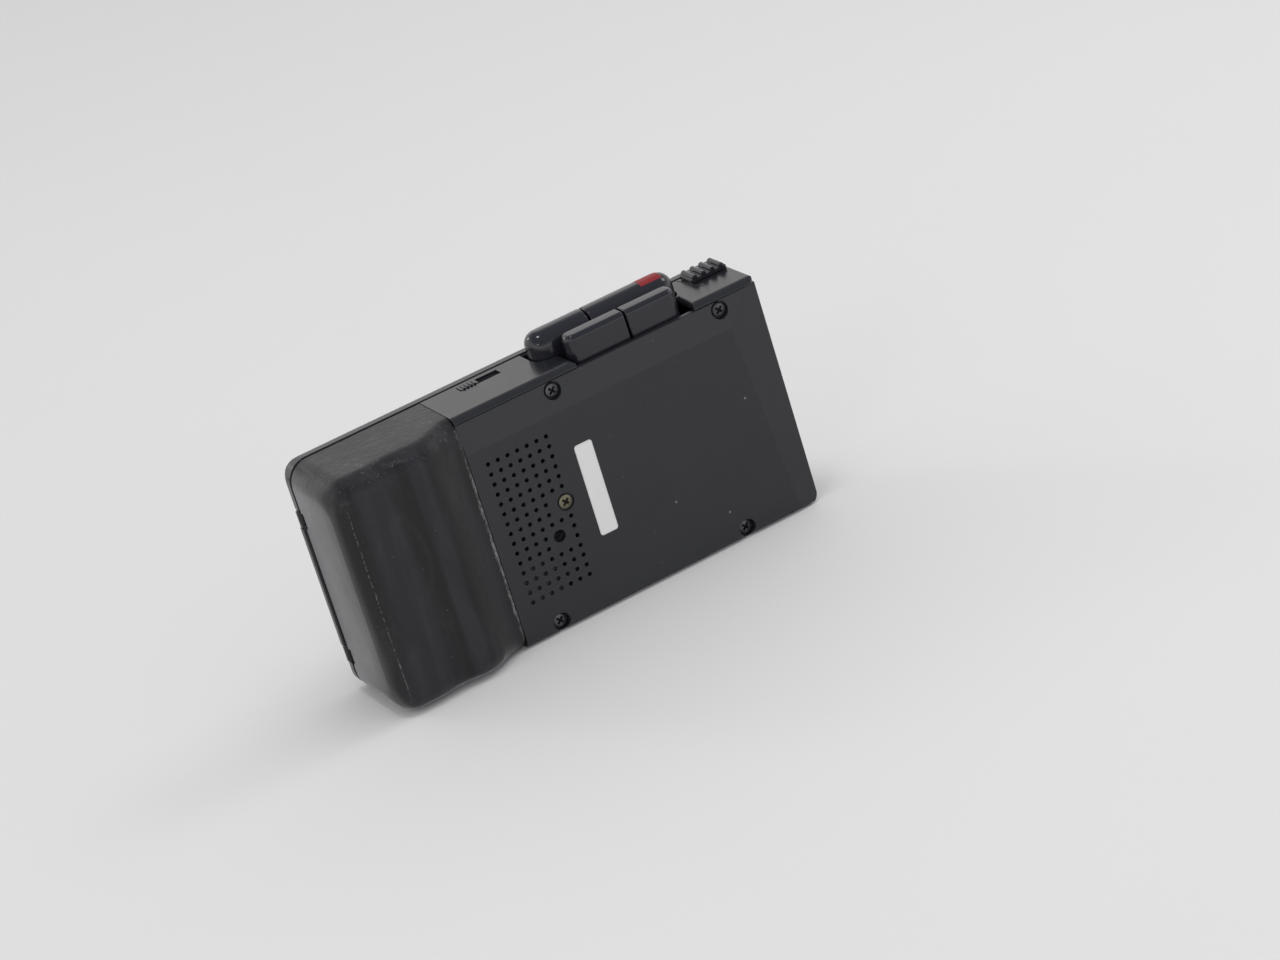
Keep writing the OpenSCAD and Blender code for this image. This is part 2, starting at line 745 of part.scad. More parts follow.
module battery_tray() {
    plan = round_rect([tray_x[0], tray_z[0]], [tray_x[1], tray_z[1]], [tray_r, 0, 0, tray_r]);
    hollow = round_rect(
        [tray_x[0] + tray_wall, tray_z[0] + tray_wall], [tray_x[1] - tray_wall, tray_z[1] - tray_wall],
        [tray_r - tray_wall, 0, 0, tray_r - tray_wall]
    );
    color("#3a3a3c") {
        difference() {
            along_y(tray_y[0], y_face) polygon(plan);
            along_y(tray_y[1], y_face + over) polygon(hollow);
        }
        for (z = [tray_z[0], tray_z[1] - tray_wall]) {
            block(
                [tray_x[0] + tray_r, cell_y - cell_d / 3, z],
                [cell_x[1] + cell_d / 3, tray_y[1], z + tray_wall]
            );
        }
    }
}

module battery_springs() {
    foot_r = 4;
    tip_r = 2.2;
    wire = 0.3;
    color(steel_c) for (x = cell_x) {
        translate([x, cell_y, tray_z[0] + tray_wall]) coil(foot_r, tip_r, wire, 5, contact_h);
    }
}

module battery_plates() {
    half = 4.4;
    sheet = 0.4;
    top = tray_z[1] - tray_wall;
    color(steel_c) for (x = cell_x) {
        block([x - half, cell_y - half, top - sheet], [x + half, cell_y + half, top]);
        rod_z(x, cell_y, 1.6, top - 2 * sheet, top - sheet);
    }
}

module cassette_lid() {
    mid = cass_x;
    finger_r = 6;
    finger_in = 2;
    finger_dip = 0.6;
    color(case_c) difference() {
        along_x(lid_x[0], lid_x[1]) polygon(concat(
            arc([lid_axis_y, lid_axis_z], lid_hr, 180, 360, 2 * arc_n), [[y_f, lid_z[1]], [y_face, lid_z[1]]]
        ));
        block(
            [mid - window_w / 2, y_face - over, window_z - window_h / 2],
            [mid + window_w / 2, y_f + over, window_z + window_h / 2]
        );
        rod_x(lid_axis_y, lid_axis_z, lid_pin_r + run, lid_x[0] - over, lid_x[0] + lid_pin_in + 0.2);
        rod_x(lid_axis_y, lid_axis_z, lid_pin_r + run, lid_x[1] - lid_pin_in - 0.2, lid_x[1] + over);
        rod_y([mid, lid_z[1] + finger_r - finger_in], finger_r, y_f - finger_dip, y_f + over);
    }
}

module lid_window() {
    flange = 1;
    gap = 0.1;
    color("#6d7378") {
        block(
            [cass_x - window_w / 2 + gap, y_face - 0.1, window_z - window_h / 2 + gap],
            [cass_x + window_w / 2 - gap, y_f - 0.15, window_z + window_h / 2 - gap]
        );
        block(
            [cass_x - window_w / 2 - flange, y_face - 0.5, window_z - window_h / 2 - flange],
            [cass_x + window_w / 2 + flange, y_face, window_z + window_h / 2 + flange]
        );
    }
}

module lid_hinge_pins() {
    color(steel_c) {
        rod_x(lid_axis_y, lid_axis_z, lid_pin_r, well_x[0] - well_wall, lid_x[0] + lid_pin_in);
        rod_x(lid_axis_y, lid_axis_z, lid_pin_r, lid_x[1] - lid_pin_in, well_x[1] + well_wall);
    }
}

// Key of the front row: a bar with a round top, and round ends of radius e0 and e1
module front_key(x, e0, e1) {
    top = body_h + front_key_h;
    crown = front_key_d / 2 - 0.3;
    intersection() {
        along_x(x[0], x[1])
            polygon(round_rect([front_y[0], skirt_z], [front_y[1], top], [0, 0, crown, crown]));
        along_y(front_y[0], front_y[1])
            polygon(round_rect([x[0], skirt_z], [x[1], top], [0, 0, e1 * 0.8, e0 * 0.8]));
        along_z(skirt_z, top) polygon(round_rect([x[0], front_y[0]], [x[1], front_y[1]], [e0, e1, e1, e0]));
    }
    rod_z((x[0] + x[1]) / 2, front_stem_y, stem_r, stem_z, skirt_z + over);
}

// Key of the back row: a flat face to the back, which leans in a little, under a rounded top edge
module back_key(x, e0, e1) {
    top = body_h + back_key_h;
    lean = 0.5;
    edge = 1.4;
    intersection() {
        along_x(x[0], x[1]) polygon(concat(
            [[back_y[0], skirt_z], [back_y[1], skirt_z]],
            corner([back_y[1] - edge, top - edge], edge, 0),
            corner([back_y[0] + lean + edge, top - edge], edge, 90)
        ));
        along_y(back_y[0], back_y[1])
            polygon(round_rect([x[0], skirt_z], [x[1], top], [0, 0, e1 * 0.6, e0 * 0.6]));
        along_z(skirt_z, top) polygon(round_rect([x[0], back_y[0]], [x[1], back_y[1]], [e0, e1, e1, e0]));
    }
    rod_z((x[0] + x[1]) / 2, back_stem_y, stem_r, stem_z, skirt_z + over);
}

module stop_key() {
    color(key_c) front_key(stop_x, front_end_r, inner_end_r);
}

// Space of the red mark: a patch of the play key's round top
module mark_space(gap) {
    block(
        [play_x[1] - mark_in - mark_l - gap, front_y[0] + 2.1 - gap, body_h + front_key_h - mark_dip],
        [play_x[1] - mark_in + gap, front_y[1] - 2 + gap, body_h + front_key_h + over]
    );
}

module play_key() {
    color(key_c) difference() {
        front_key(play_x, inner_end_r, front_end_r);
        mark_space(0);
    }
}

module record_mark() {
    color("#b93238") intersection() {
        front_key(play_x, inner_end_r, front_end_r);
        mark_space(-0.05);
    }
}

module rewind_key() {
    color(key_c) back_key(rewind_x, back_end_r, inner_end_r);
}

module forward_key() {
    color(key_c) back_key(forward_x, inner_end_r, back_end_r);
}

function key_mid(x) = (x[0] + x[1]) / 2;

module key_guide() {
    color("#d8d6cf") difference() {
        block([front_x[0] - 1, y_rim + 0.5, guide_z[0]], [front_x[1] + 1, deck_y[0], guide_z[1]]);
        for (x = [stop_x, play_x])
            rod_z(key_mid(x), front_stem_y, stem_r + run, guide_z[0] - over, guide_z[1] + over);
        for (x = [rewind_x, forward_x]) {
            rod_z(key_mid(x), back_stem_y, stem_r + run, guide_z[0] - over, guide_z[1] + over);
        }
    }
}

// Return spring around a key's stem, between the guide and the key
module key_spring(x, y) {
    color(steel_c) translate([key_mid(x), y, guide_z[1]])
        coil(stem_r + coil_wire + 0.2, stem_r + coil_wire + 0.2, coil_wire, 5, skirt_z - guide_z[1]);
}

module stop_key_spring() {
    key_spring(stop_x, front_stem_y);
}

module play_key_spring() {
    key_spring(play_x, front_stem_y);
}

module rewind_key_spring() {
    key_spring(rewind_x, back_stem_y);
}

module forward_key_spring() {
    key_spring(forward_x, back_stem_y);
}

// Stem of a slider, through the top wall into its switch
module slider_stem(x0, x1, y, top) {
    mid = (y[0] + y[1]) / 2;
    block([x0, mid - 0.5, lip_z - 1.4], [x1, mid + 0.5, top]);
}

module pause_slider() {
    foot = 1.1;
    z0 = body_h + 0.05;
    pitch = pause_l / pause_ribs;
    color(key_c) {
        block([pause_x[0], pause_y[0], z0], [pause_x[1], pause_y[1], z0 + foot]);
        for (i = [0:pause_ribs - 1]) {
            x = pause_x[0] + pitch * (i + 0.5);
            along_y(pause_y[0], pause_y[1]) polygon(round_rect(
                [x - pitch * 0.3, z0 + foot / 2], [x + pitch * 0.3, body_h + pause_h],
                [0, 0, pitch * 0.29, pitch * 0.29]
            ));
        }
        slider_stem(pause_x[0] + pause_stem_in, pause_x[1] - pause_stem_in, pause_y, z0 + foot / 2);
    }
}

// Body of a slide switch under the top wall, with the slot that the slider's stem moves in
module switch_body(y, slot) {
    mid = (y[0] + y[1]) / 2;
    half = 2.6;
    end = 1.2;
    color("#8f9296") difference() {
        block([slot[0] - end, mid - half, lip_z - switch_h], [slot[1] + end, mid + half, lip_z]);
        block([slot[0], mid - 0.8, lip_z - 1.8], [slot[1], mid + 0.8, lip_z + over]);
    }
}

module pause_switch() {
    slot = [pause_x[0] + pause_stem_in - 0.3 - pause_travel, pause_x[1] - pause_stem_in + 0.3];
    switch_body(pause_y, slot);
}

module speed_slider() {
    z0 = body_h - speed_dip + 0.05;
    rib = 0.5;
    color(key_c) {
        block([speed_x, speed_y[0], z0], [speed_x + speed_l, speed_y[1], body_h + 0.15]);
        for (i = [1:4]) {
            x = speed_x + speed_l * i / 5;
            block([x - rib / 2, speed_y[0], body_h - 0.1], [x + rib / 2, speed_y[1], body_h + 0.45]);
        }
        slider_stem(speed_x + speed_stem_in, speed_x + speed_l - speed_stem_in, speed_y, z0 + 0.3);
    }
}

module speed_switch() {
    slot = [
        speed_x + speed_stem_in - 2 * stem_gap,
        speed_x + speed_l + speed_travel - speed_stem_in + 2 * stem_gap
    ];
    switch_body(speed_y, slot);
}

module volume_dial() {
    color("#2a2a2d") difference() {
        rod_y(dial_at, dial_r, dial_y[0], dial_y[1], $fn = 96);
        for (i = [0:dial_notches - 1]) {
            a = 360 * i / dial_notches;
            rod_y(dial_at + dial_r * [cos(a), sin(a)], 0.35, dial_y[0] - over, dial_y[1] + over, $fn = 16);
        }
        rod_y(dial_at, pot_r + run, dial_y[0] - over, dial_y[1] + over);
    }
}

module volume_pot() {
    half = 4.6;
    color("#9a9da1") {
        block(
            [dial_at.x - half, board_y[1], dial_at.y - half],
            [dial_at.x + half, dial_y[0] - 0.4, dial_at.y + half]
        );
        rod_y(dial_at, pot_r, dial_y[0] - over, dial_y[1]);
    }
}

module chassis_plate() {
    pin_h = 3;
    pin_r = 1.1;
    pin_out = 20;
    stamp_r = 1.3;
    stamp_l = 20;
    stamp_pitch = 5;
    stamp_z = cass_top - cass_w + 5;
    color("#a9adb2") difference() {
        union() {
            block([deck_x[0], deck_y[0], deck_z[0]], [deck_x[1], deck_y[1], deck_z[1]]);
            rod_y(mech_screw_at, post_r, y_in, deck_y[0] + deck_t / 2);
            for (at = board_post_at) rod_y(at, post_r, board_y[1], deck_y[0] + deck_t / 2);
            for (s = [-1, 1])
                rod_y([cass_x + s * pin_out, cass_top - cass_w + 3], pin_r, deck_y[0], deck_y[1] + pin_h);
            rod_y(idler_at(), idler_pin_r, drive_y[0], deck_y[0] + deck_t / 2);
        }
        for (at = [supply_at, takeup_at]) rod_y(at, shaft_r + run, deck_y[0] - over, deck_y[1] + over);
        for (s = [-1, 0, 1])
            rod_y([cass_x + s * stamp_pitch, reel_z], stamp_r, deck_y[0] - over, deck_y[1] + over);
        along_y(deck_y[0] - over, deck_y[1] + over) polygon(round_rect(
            [cass_x - stamp_l / 2, stamp_z - stamp_r], [cass_x + stamp_l / 2, stamp_z + stamp_r],
            [stamp_r, stamp_r, stamp_r, stamp_r]
        ));
        rod_y(capstan_at, bush_r, deck_y[0] - over, deck_y[1] + over);
        for (at = deck_screw_at) rod_y(at, shank_r + 0.1, deck_y[0] - over, deck_y[1] + over);
        rod_y(mech_screw_at, shank_r + 0.05, y_in - over, y_in + 6);
    }
}

module chassis_screws() {
    color(steel_c) for (at = deck_screw_at) screw_y(at, deck_y[0], 1.6, 1, 5, 1);
}

module mechanism_bracket() {
    to = capstan_at - motor_at;
    rim = 3.9;
    bar_w = 10;
    color("#b4b0a4") difference() {
        union() {
            along_y(bracket_y[0], bracket_y[1]) union() {
                translate(motor_at) circle(motor_r);
                translate(capstan_at) circle(fly_r + rim);
                translate(motor_at) rotate(atan2(to.y, to.x))
                    translate([0, -bar_w / 2]) square([norm(to), bar_w]);
            }
            for (at = bracket_post_at) rod_y(at, 1.4, bracket_y[0], deck_y[0]);
        }
        rod_y(motor_at, 1.2, bracket_y[0] - over, bracket_y[1] + over);
    }
}

module motor() {
    color("#9b9ea2") {
        rod_y(motor_at, motor_r, y_in + 0.3, bracket_y[0]);
        rod_y(motor_at, motor_shaft_r, bracket_y[0] - over, belt_y + 1.2);
    }
}

module motor_pulley() {
    half = belt_w / 2 + 0.1;
    color(brass_c) difference() {
        union() {
            rod_y(motor_at, pulley_r + 1, belt_y - half - 0.6, belt_y - half);
            rod_y(motor_at, pulley_r, belt_y - half, belt_y + half);
            rod_y(motor_at, pulley_r + 1, belt_y + half, belt_y + half + 0.5);
        }
        rod_y(motor_at, motor_shaft_r + run, belt_y - 3, belt_y + 3);
    }
}

module drive_belt() {
    color(rubber_c) along_y(belt_y - belt_w / 2, belt_y + belt_w / 2) difference() {
        polygon(belt_loop(0.05 + belt_t));
        polygon(belt_loop(0.05));
    }
}

module flywheel() {
    half = belt_w / 2 + 0.05;
    color("#a8a49a") difference() {
        union() {
            rod_y(capstan_at, fly_r, belt_y - half - 0.5, belt_y - half, $fn = 96);
            rod_y(capstan_at, groove_r, belt_y - half, belt_y + half, $fn = 96);
            rod_y(capstan_at, fly_r, belt_y + half, deck_y[0] - 0.4, $fn = 96);
        }
        rod_y(capstan_at, capstan_r + 0.02, belt_y - 3, deck_y[0]);
    }
}

module capstan() {
    color(steel_c) rod_y(capstan_at, capstan_r, bracket_y[1] + 0.05, y_face - 1.4);
}

module capstan_bush() {
    color(brass_c) difference() {
        union() {
            rod_y(capstan_at, bush_r, deck_y[0] - 0.2, deck_y[1]);
            rod_y(capstan_at, bush_r + 0.8, deck_y[1], deck_y[1] + 0.5);
        }
        rod_y(capstan_at, capstan_r + run, deck_y[0] - over, deck_y[1] + over);
    }
}

module idler_wheel() {
    color(rubber_c) difference() {
        rod_y(idler_at(), idler_r, drive_y[0], drive_y[1]);
        rod_y(idler_at(), idler_pin_r + run, drive_y[0] - over, drive_y[1] + over);
    }
}

// Spindle: drive disc behind the deck, shaft through it, and a three-finned hub that carries the reel
module spindle(at) {
    hub_h = 6.2;
    hub_r = 1.8;
    fin_r = 2.7;
    collar = 3.2;
    foot = deck_y[1] + 0.2;
    color("#e2e0da") {
        rod_y(at, disc_r, drive_y[0], drive_y[1]);
        rod_y(at, shaft_r, drive_y[1] - 0.2, foot + 0.2);
        rod_y(at, collar, foot, foot + 0.6);
        rod_y(at, hub_r, foot + 0.4, foot + hub_h);
        for (a = [90, 210, 330]) {
            translate([at.x, foot + 0.4, at.y]) rotate([0, a, 0]) translate([0, 0, -0.4])
                cube([fin_r, hub_h - 1.4, 0.8]);
        }
    }
}

module takeup_spindle() {
    spindle(takeup_at);
}

module supply_spindle() {
    spindle(supply_at);
}

module head_plate() {
    plate_x = [cass_x - 17, cass_x + 19];
    plate_z = [head_z + 2, head_z + 9.5];
    slot_w = 1.8;
    color("#b0b3b7") difference() {
        block([plate_x[0], plate_y[0], plate_z[0]], [plate_x[1], plate_y[1], plate_z[1]]);
        for (x = [plate_x[0] + 2.5, plate_x[1] - 11.5]) {
            along_y(plate_y[0] - over, plate_y[1] + over) polygon(round_rect(
                [x - slot_w / 2, plate_z[0] + 1.2], [x + slot_w / 2, plate_z[1] - 1.3],
                [slot_w, slot_w, slot_w, slot_w] / 2
            ));
        }
    }
}

// Magnetic head: a block with a round nose that faces the tape
module tape_head(x, w, h) {
    nose = w / 2;
    rod_y([x, head_z + 0.5 + nose], nose, plate_y[1], plate_y[1] + h);
    block([x - w / 2, plate_y[1], head_z + 0.5 + nose], [x + w / 2, plate_y[1] + h, head_z + 7]);
}

module record_head() {
    color("#c8cbcf") tape_head(cass_x, 6, 6.6);
}

module erase_head() {
    color("#3a3a40") tape_head(cass_x - 10, 3.6, 6);
}

module pinch_arm() {
    half = 1.6;
    arm_t = 0.6;
    color("#b0b3b7") {
        block(
            [pinch_at.x - half, plate_y[1], pinch_at.y],
            [pinch_at.x + half, plate_y[1] + arm_t, head_z + 9]
        );
        rod_y(pinch_at, half, plate_y[1], plate_y[1] + arm_t);
        rod_y(pinch_at, pinch_pin_r, plate_y[1], plate_y[1] + 6);
    }
}

module pinch_roller() {
    color(rubber_c) difference() {
        rod_y(pinch_at, pinch_r, plate_y[1] + 0.7, plate_y[1] + 5.4);
        rod_y(pinch_at, pinch_pin_r + run, plate_y[1], plate_y[1] + 7);
    }
}

module circuit_board() {
    tab_x = x_r - 14;
    tab_z = jack_z[1] + jack_half;
    tongue = [trim_at.y - trim_r, trim_at.y + 3.6];
    tongue_x = trim_at.x - 2.5;
    color(board_c) difference() {
        along_y(board_y[0], board_y[1]) polygon([
            [board_x[0], board_z[0]], [board_x[1], board_z[0]], [board_x[1], tab_z], [tab_x, tab_z],
            [tab_x, board_z[1]], [board_x[0], board_z[1]], [board_x[0], tongue[1]],
            [tongue_x, tongue[1]], [tongue_x, tongue[0]], [board_x[0], tongue[0]]
        ]);
        for (at = board_post_at) rod_y(at, 0.8, board_y[0] - over, board_y[1] + over);
    }
}

// Back of the board: a row of capacitor cans, a row of chips and a row of resistors
module board_parts() {
    back = board_y[0];
    part_x = board_x[0] + 7.7;
    can_r = 2.2;
    can_pitch = 7;
    can_up = 12;
    chip_l = 9;
    chip_w = 6;
    chip_up = 22;
    bead_l = 3.4;
    bead_w = 1.6;
    bead_up = 33;
    color("#2b2f36") {
        for (i = [0:3])
            rod_y([part_x + can_pitch * i, board_z[0] + can_up], can_r, back - part_h + 0.3, back);
        for (i = [0:2]) {
            x = part_x + 2 + (chip_l + 4) * i;
            block([x, back - 1.8, board_z[0] + chip_up], [x + chip_l, back, board_z[0] + chip_up + chip_w]);
        }
        for (i = [0:5]) {
            x = part_x + 1 + (bead_l + 2.6) * i;
            block([x, back - 1.2, board_z[0] + bead_up], [x + bead_l, back, board_z[0] + bead_up + bead_w]);
        }
        for (at = board_post_at) rod_y(at, 1.5, back - 0.8, back);
    }
}

module speed_trimmer() {
    color("#c9a23a") difference() {
        rod_y(trim_at, trim_r, board_y[0] - 2, board_y[0]);
        block(trim_place(-1.2, -0.3, -2.1), trim_place(1.2, 0.3, -1.5));
    }
}

// Point at the trimmer, given by its offsets along X and Z and its distance from the board
function trim_place(dx, dz, dy) = [trim_at.x + dx, board_y[0] + dy, trim_at.y + dz];

module speaker() {
    face = y_in + 0.4;
    color("#7d8186") difference() {
        union() {
            rod_y(speaker_at, speaker_r, face, face + 1.4);
            rod_y(speaker_at, speaker_r - 2.4, face + 1, face + 2.4);
            rod_y(speaker_at, speaker_r - 4, face + 2, face + 4.6);
        }
        rod_y(speaker_at, speaker_r - 1.4, face - over, face + 0.8);
    }
}

module speaker_felt() {
    color("#18181a") rod_y(speaker_at, speaker_r, y_in, y_in + 0.4);
}

module microphone() {
    color(steel_c) rod_y(mic_at, mic_r, y_face - 3, y_face);
}

module mic_boot() {
    color(rubber_c) difference() {
        rod_y(mic_at, mic_r + 0.7, y_face - 3.6, y_face);
        rod_y(mic_at, mic_r + 0.02, y_face - 3, y_face + over);
    }
}

module record_lamp() {
    color("#c03030") {
        rod_y(lamp_at, lamp_r, y_face - lamp_dip, y_f + 0.4);
        rod_y(lamp_at, lamp_r + 0.5, y_face - lamp_dip, y_face);
    }
}

// Jack: a body on the circuit board, and a collar with the bore that takes the plug
module jack(z) {
    back = x_r - wall - flange_t - jack_l;
    color("#232326") difference() {
        union() {
            block(
                [back, board_y[1], z - jack_half], [x_r - wall - flange_t, jack_y + jack_half, z + jack_half]
            );
            rod_x(jack_y, z, collar_r, x_r - wall - flange_t - 0.2, x_r);
        }
        rod_x(jack_y, z, jack_r, back + 1, x_r + over);
    }
}

module ear_jack() {
    jack(jack_z[1]);
}

module mic_jack() {
    jack(jack_z[0]);
}

rear_cover();
side_frame();
front_shell();
end_panel();
case_screws();
mechanism_screw();
back_label();
battery_cover();
battery_hinge_pin();
battery_tray();
battery_springs();
battery_plates();
cassette_lid();
lid_window();
lid_hinge_pins();
stop_key();
play_key();
record_mark();
rewind_key();
forward_key();
key_guide();
stop_key_spring();
play_key_spring();
rewind_key_spring();
forward_key_spring();
pause_slider();
pause_switch();
speed_slider();
speed_switch();
volume_dial();
volume_pot();
chassis_plate();
chassis_screws();
mechanism_bracket();
motor();
motor_pulley();
drive_belt();
flywheel();
capstan();
capstan_bush();
idler_wheel();
takeup_spindle();
supply_spindle();
head_plate();
record_head();
erase_head();
pinch_arm();
pinch_roller();
circuit_board();
board_parts();
speed_trimmer();
speaker();
speaker_felt();
microphone();
mic_boot();
record_lamp();
ear_jack();
mic_jack();
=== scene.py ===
"""Looks of a hand-held microcassette dictation machine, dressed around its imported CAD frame.

The frame gives each node in metres. The sizes below are in millimetres, in the same frame, and repeat
the part's own.
"""
import logging
import math
from abc import ABC, abstractmethod
from collections.abc import Iterable, Sequence
from dataclasses import dataclass, field
from enum import Enum
from typing import Union

import bmesh
import bpy
from mathutils import Matrix, Vector


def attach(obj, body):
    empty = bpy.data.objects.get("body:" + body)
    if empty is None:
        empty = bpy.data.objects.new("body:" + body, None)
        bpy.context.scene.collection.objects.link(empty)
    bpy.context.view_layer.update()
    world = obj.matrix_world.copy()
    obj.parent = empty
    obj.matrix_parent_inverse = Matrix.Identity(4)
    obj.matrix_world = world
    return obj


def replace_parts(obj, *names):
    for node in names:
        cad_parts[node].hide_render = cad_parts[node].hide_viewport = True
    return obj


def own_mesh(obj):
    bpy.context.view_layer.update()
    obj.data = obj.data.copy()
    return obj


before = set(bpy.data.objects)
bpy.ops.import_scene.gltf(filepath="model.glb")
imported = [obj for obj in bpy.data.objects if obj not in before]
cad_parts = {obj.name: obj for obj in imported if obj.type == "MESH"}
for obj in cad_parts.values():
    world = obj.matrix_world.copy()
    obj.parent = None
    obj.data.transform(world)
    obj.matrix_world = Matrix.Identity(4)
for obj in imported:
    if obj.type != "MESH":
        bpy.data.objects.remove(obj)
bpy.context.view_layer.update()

LOG = logging.getLogger("dictation_machine")
MM = 0.001
PER_M = 1000.0

Colour = tuple[float, float, float]
Point2 = tuple[float, float]
Point3 = tuple[float, float, float]
Operand = Union["Wire", float, Colour]

EVEN: Point3 = (1.0, 1.0, 1.0)
DUST: Colour = (0.42, 0.41, 0.39)
DEEP_BLACK: Colour = (0.006, 0.006, 0.006)
RUBBED: Colour = (0.23, 0.225, 0.22)
CLOUD_ROUGHNESS = 0.55
JOIN_MM = 1e-4
WELD_M = 1e-6
FLAT_DEG = 0.5
SHARP_DEG = 9.7
CLOSED_TURN = 0.8


def tinted(colour: Colour, factor: float) -> Colour:
    """The colour made lighter or darker by a factor, up to white."""
    return tuple(min(1.0, part * factor) for part in colour)


class Wire:
    """Output of a shader node that takes part in Python expressions."""

    def __init__(self, tree: "Tree", socket: bpy.types.NodeSocket) -> None:
        """Keeps the tree that owns the socket, so that an expression can add nodes to it."""
        self.tree = tree
        self.socket = socket

    def _pair(self, operation: str, first: Operand, second: Operand) -> "Wire":
        """Joins two operands with the node that suits what they carry.

        Args:
            operation: Name that Math, Vector Math and Mix share, such as MULTIPLY.
            first: Left operand.
            second: Right operand.

        Returns:
            A colour if either operand is one, else a vector if either is one, else a value.
        """
        kinds = {one.socket.type for one in (first, second) if isinstance(one, Wire)}
        if "RGBA" in kinds:
            settings = {"data_type": "RGBA", "blend_type": operation}
            sockets = {"Factor_Float": 1.0, "A_Color": first, "B_Color": second}
            return self.tree.node("ShaderNodeMix", settings, sockets, "Result_Color")
        kind = "ShaderNodeVectorMath" if "VECTOR" in kinds else "ShaderNodeMath"
        return self.tree.node(kind, {"operation": operation}, {0: first, 1: second})

    def __add__(self, other: Operand) -> "Wire":
        """Sum with another operand."""
        return self._pair("ADD", self, other)

    def __radd__(self, other: Operand) -> "Wire":
        """Sum that starts with a number or colour."""
        return self._pair("ADD", other, self)

    def __sub__(self, other: Operand) -> "Wire":
        """Difference from another operand."""
        return self._pair("SUBTRACT", self, other)

    def __rsub__(self, other: Operand) -> "Wire":
        """Difference that starts with a number or colour."""
        return self._pair("SUBTRACT", other, self)

    def __mul__(self, other: Operand) -> "Wire":
        """Product with another operand."""
        return self._pair("MULTIPLY", self, other)

    def __rmul__(self, other: Operand) -> "Wire":
        """Product that starts with a number or colour."""
        return self._pair("MULTIPLY", other, self)

    def __lt__(self, limit: Operand) -> "Wire":
        """One where the value is below a limit, and zero elsewhere."""
        return self._pair("LESS_THAN", self, limit)

    def __or__(self, other: Operand) -> "Wire":
        """Larger of two masks."""
        return self._pair("MAXIMUM", self, other)

    def __abs__(self) -> "Wire":
        """Distance from zero."""
        return self.tree.node("ShaderNodeMath", {"operation": "ABSOLUTE"}, {0: self})

    def beside(self, name: str) -> "Wire":
        """Another output of the same node."""
        return Wire(self.tree, self.tree.socket(self.socket.node.outputs, name))


class Tree:
    """Shader nodes of a material or of the surround."""

    def __init__(self, nodes: bpy.types.NodeTree) -> None:
        """Takes a node tree and empties it."""
        self.nodes = nodes
        self.nodes.nodes.clear()

    @staticmethod
    def socket(sockets: bpy.types.bpy_prop_collection, key: int | str) -> bpy.types.NodeSocket:
        """Finds a socket by its number, its identifier or its name."""
        if isinstance(key, int):
            return sockets[key]
        by_identifier = [one for one in sockets if one.identifier == key]
        return by_identifier[0] if by_identifier else sockets[key]

    def _feed(self, socket: bpy.types.NodeSocket, value: Operand | str) -> None:
        """Links a wire to a socket, or sets the socket's own value.

        Args:
            socket: Input to feed.
            value: Wire, number, colour or vector.
        """
        if isinstance(value, Wire):
            self.nodes.links.new(value.socket, socket)
            return
        if socket.type == "RGBA":
            value = (value,) * 3 if isinstance(value, (int, float)) else tuple(value)
            value = (*value[:3], 1.0)
        elif socket.type == "VECTOR" and isinstance(value, (int, float)):
            value = (value,) * 3
        socket.default_value = value

    def node(
        self, kind: str, settings: dict | None = None, sockets: dict | None = None, out: int | str = 0
    ) -> Wire:
        """Adds any node.

        Args:
            kind: Node type, such as ShaderNodeTexNoise.
            settings: Properties of the node, set first.
            sockets: Values or wires of its inputs, by number, identifier or name.
            out: Output that the result stands for.

        Returns:
            That output.
        """
        made = self.nodes.nodes.new(kind)
        for key, value in (settings or {}).items():
            setattr(made, key, value)
        for key, value in (sockets or {}).items():
            self._feed(self.socket(made.inputs, key), value)
        return Wire(self, self.socket(made.outputs, out))

    def close(self, kind: str, shader: Wire) -> None:
        """Feeds a shader to an output node of some type."""
        made = self.nodes.nodes.new(kind)
        self._feed(made.inputs["Surface"], shader)

    def mix(self, share: Wire, first: Operand, second: Operand) -> Wire:
        """Colour that goes from the first to the second as the share goes from 0 to 1."""
        sockets = {"Factor_Float": share, "A_Color": first, "B_Color": second}
        return self.node("ShaderNodeMix", {"data_type": "RGBA"}, sockets, "Result_Color")

    def step(self, value: Wire, low: float, high: float) -> Wire:
        """Smooth step from 0 at low to 1 at high, which may lie the other way round."""
        sockets = {"Value": value, "From Min": low, "From Max": high}
        return self.node("ShaderNodeMapRange", {"interpolation_type": "SMOOTHSTEP"}, sockets)


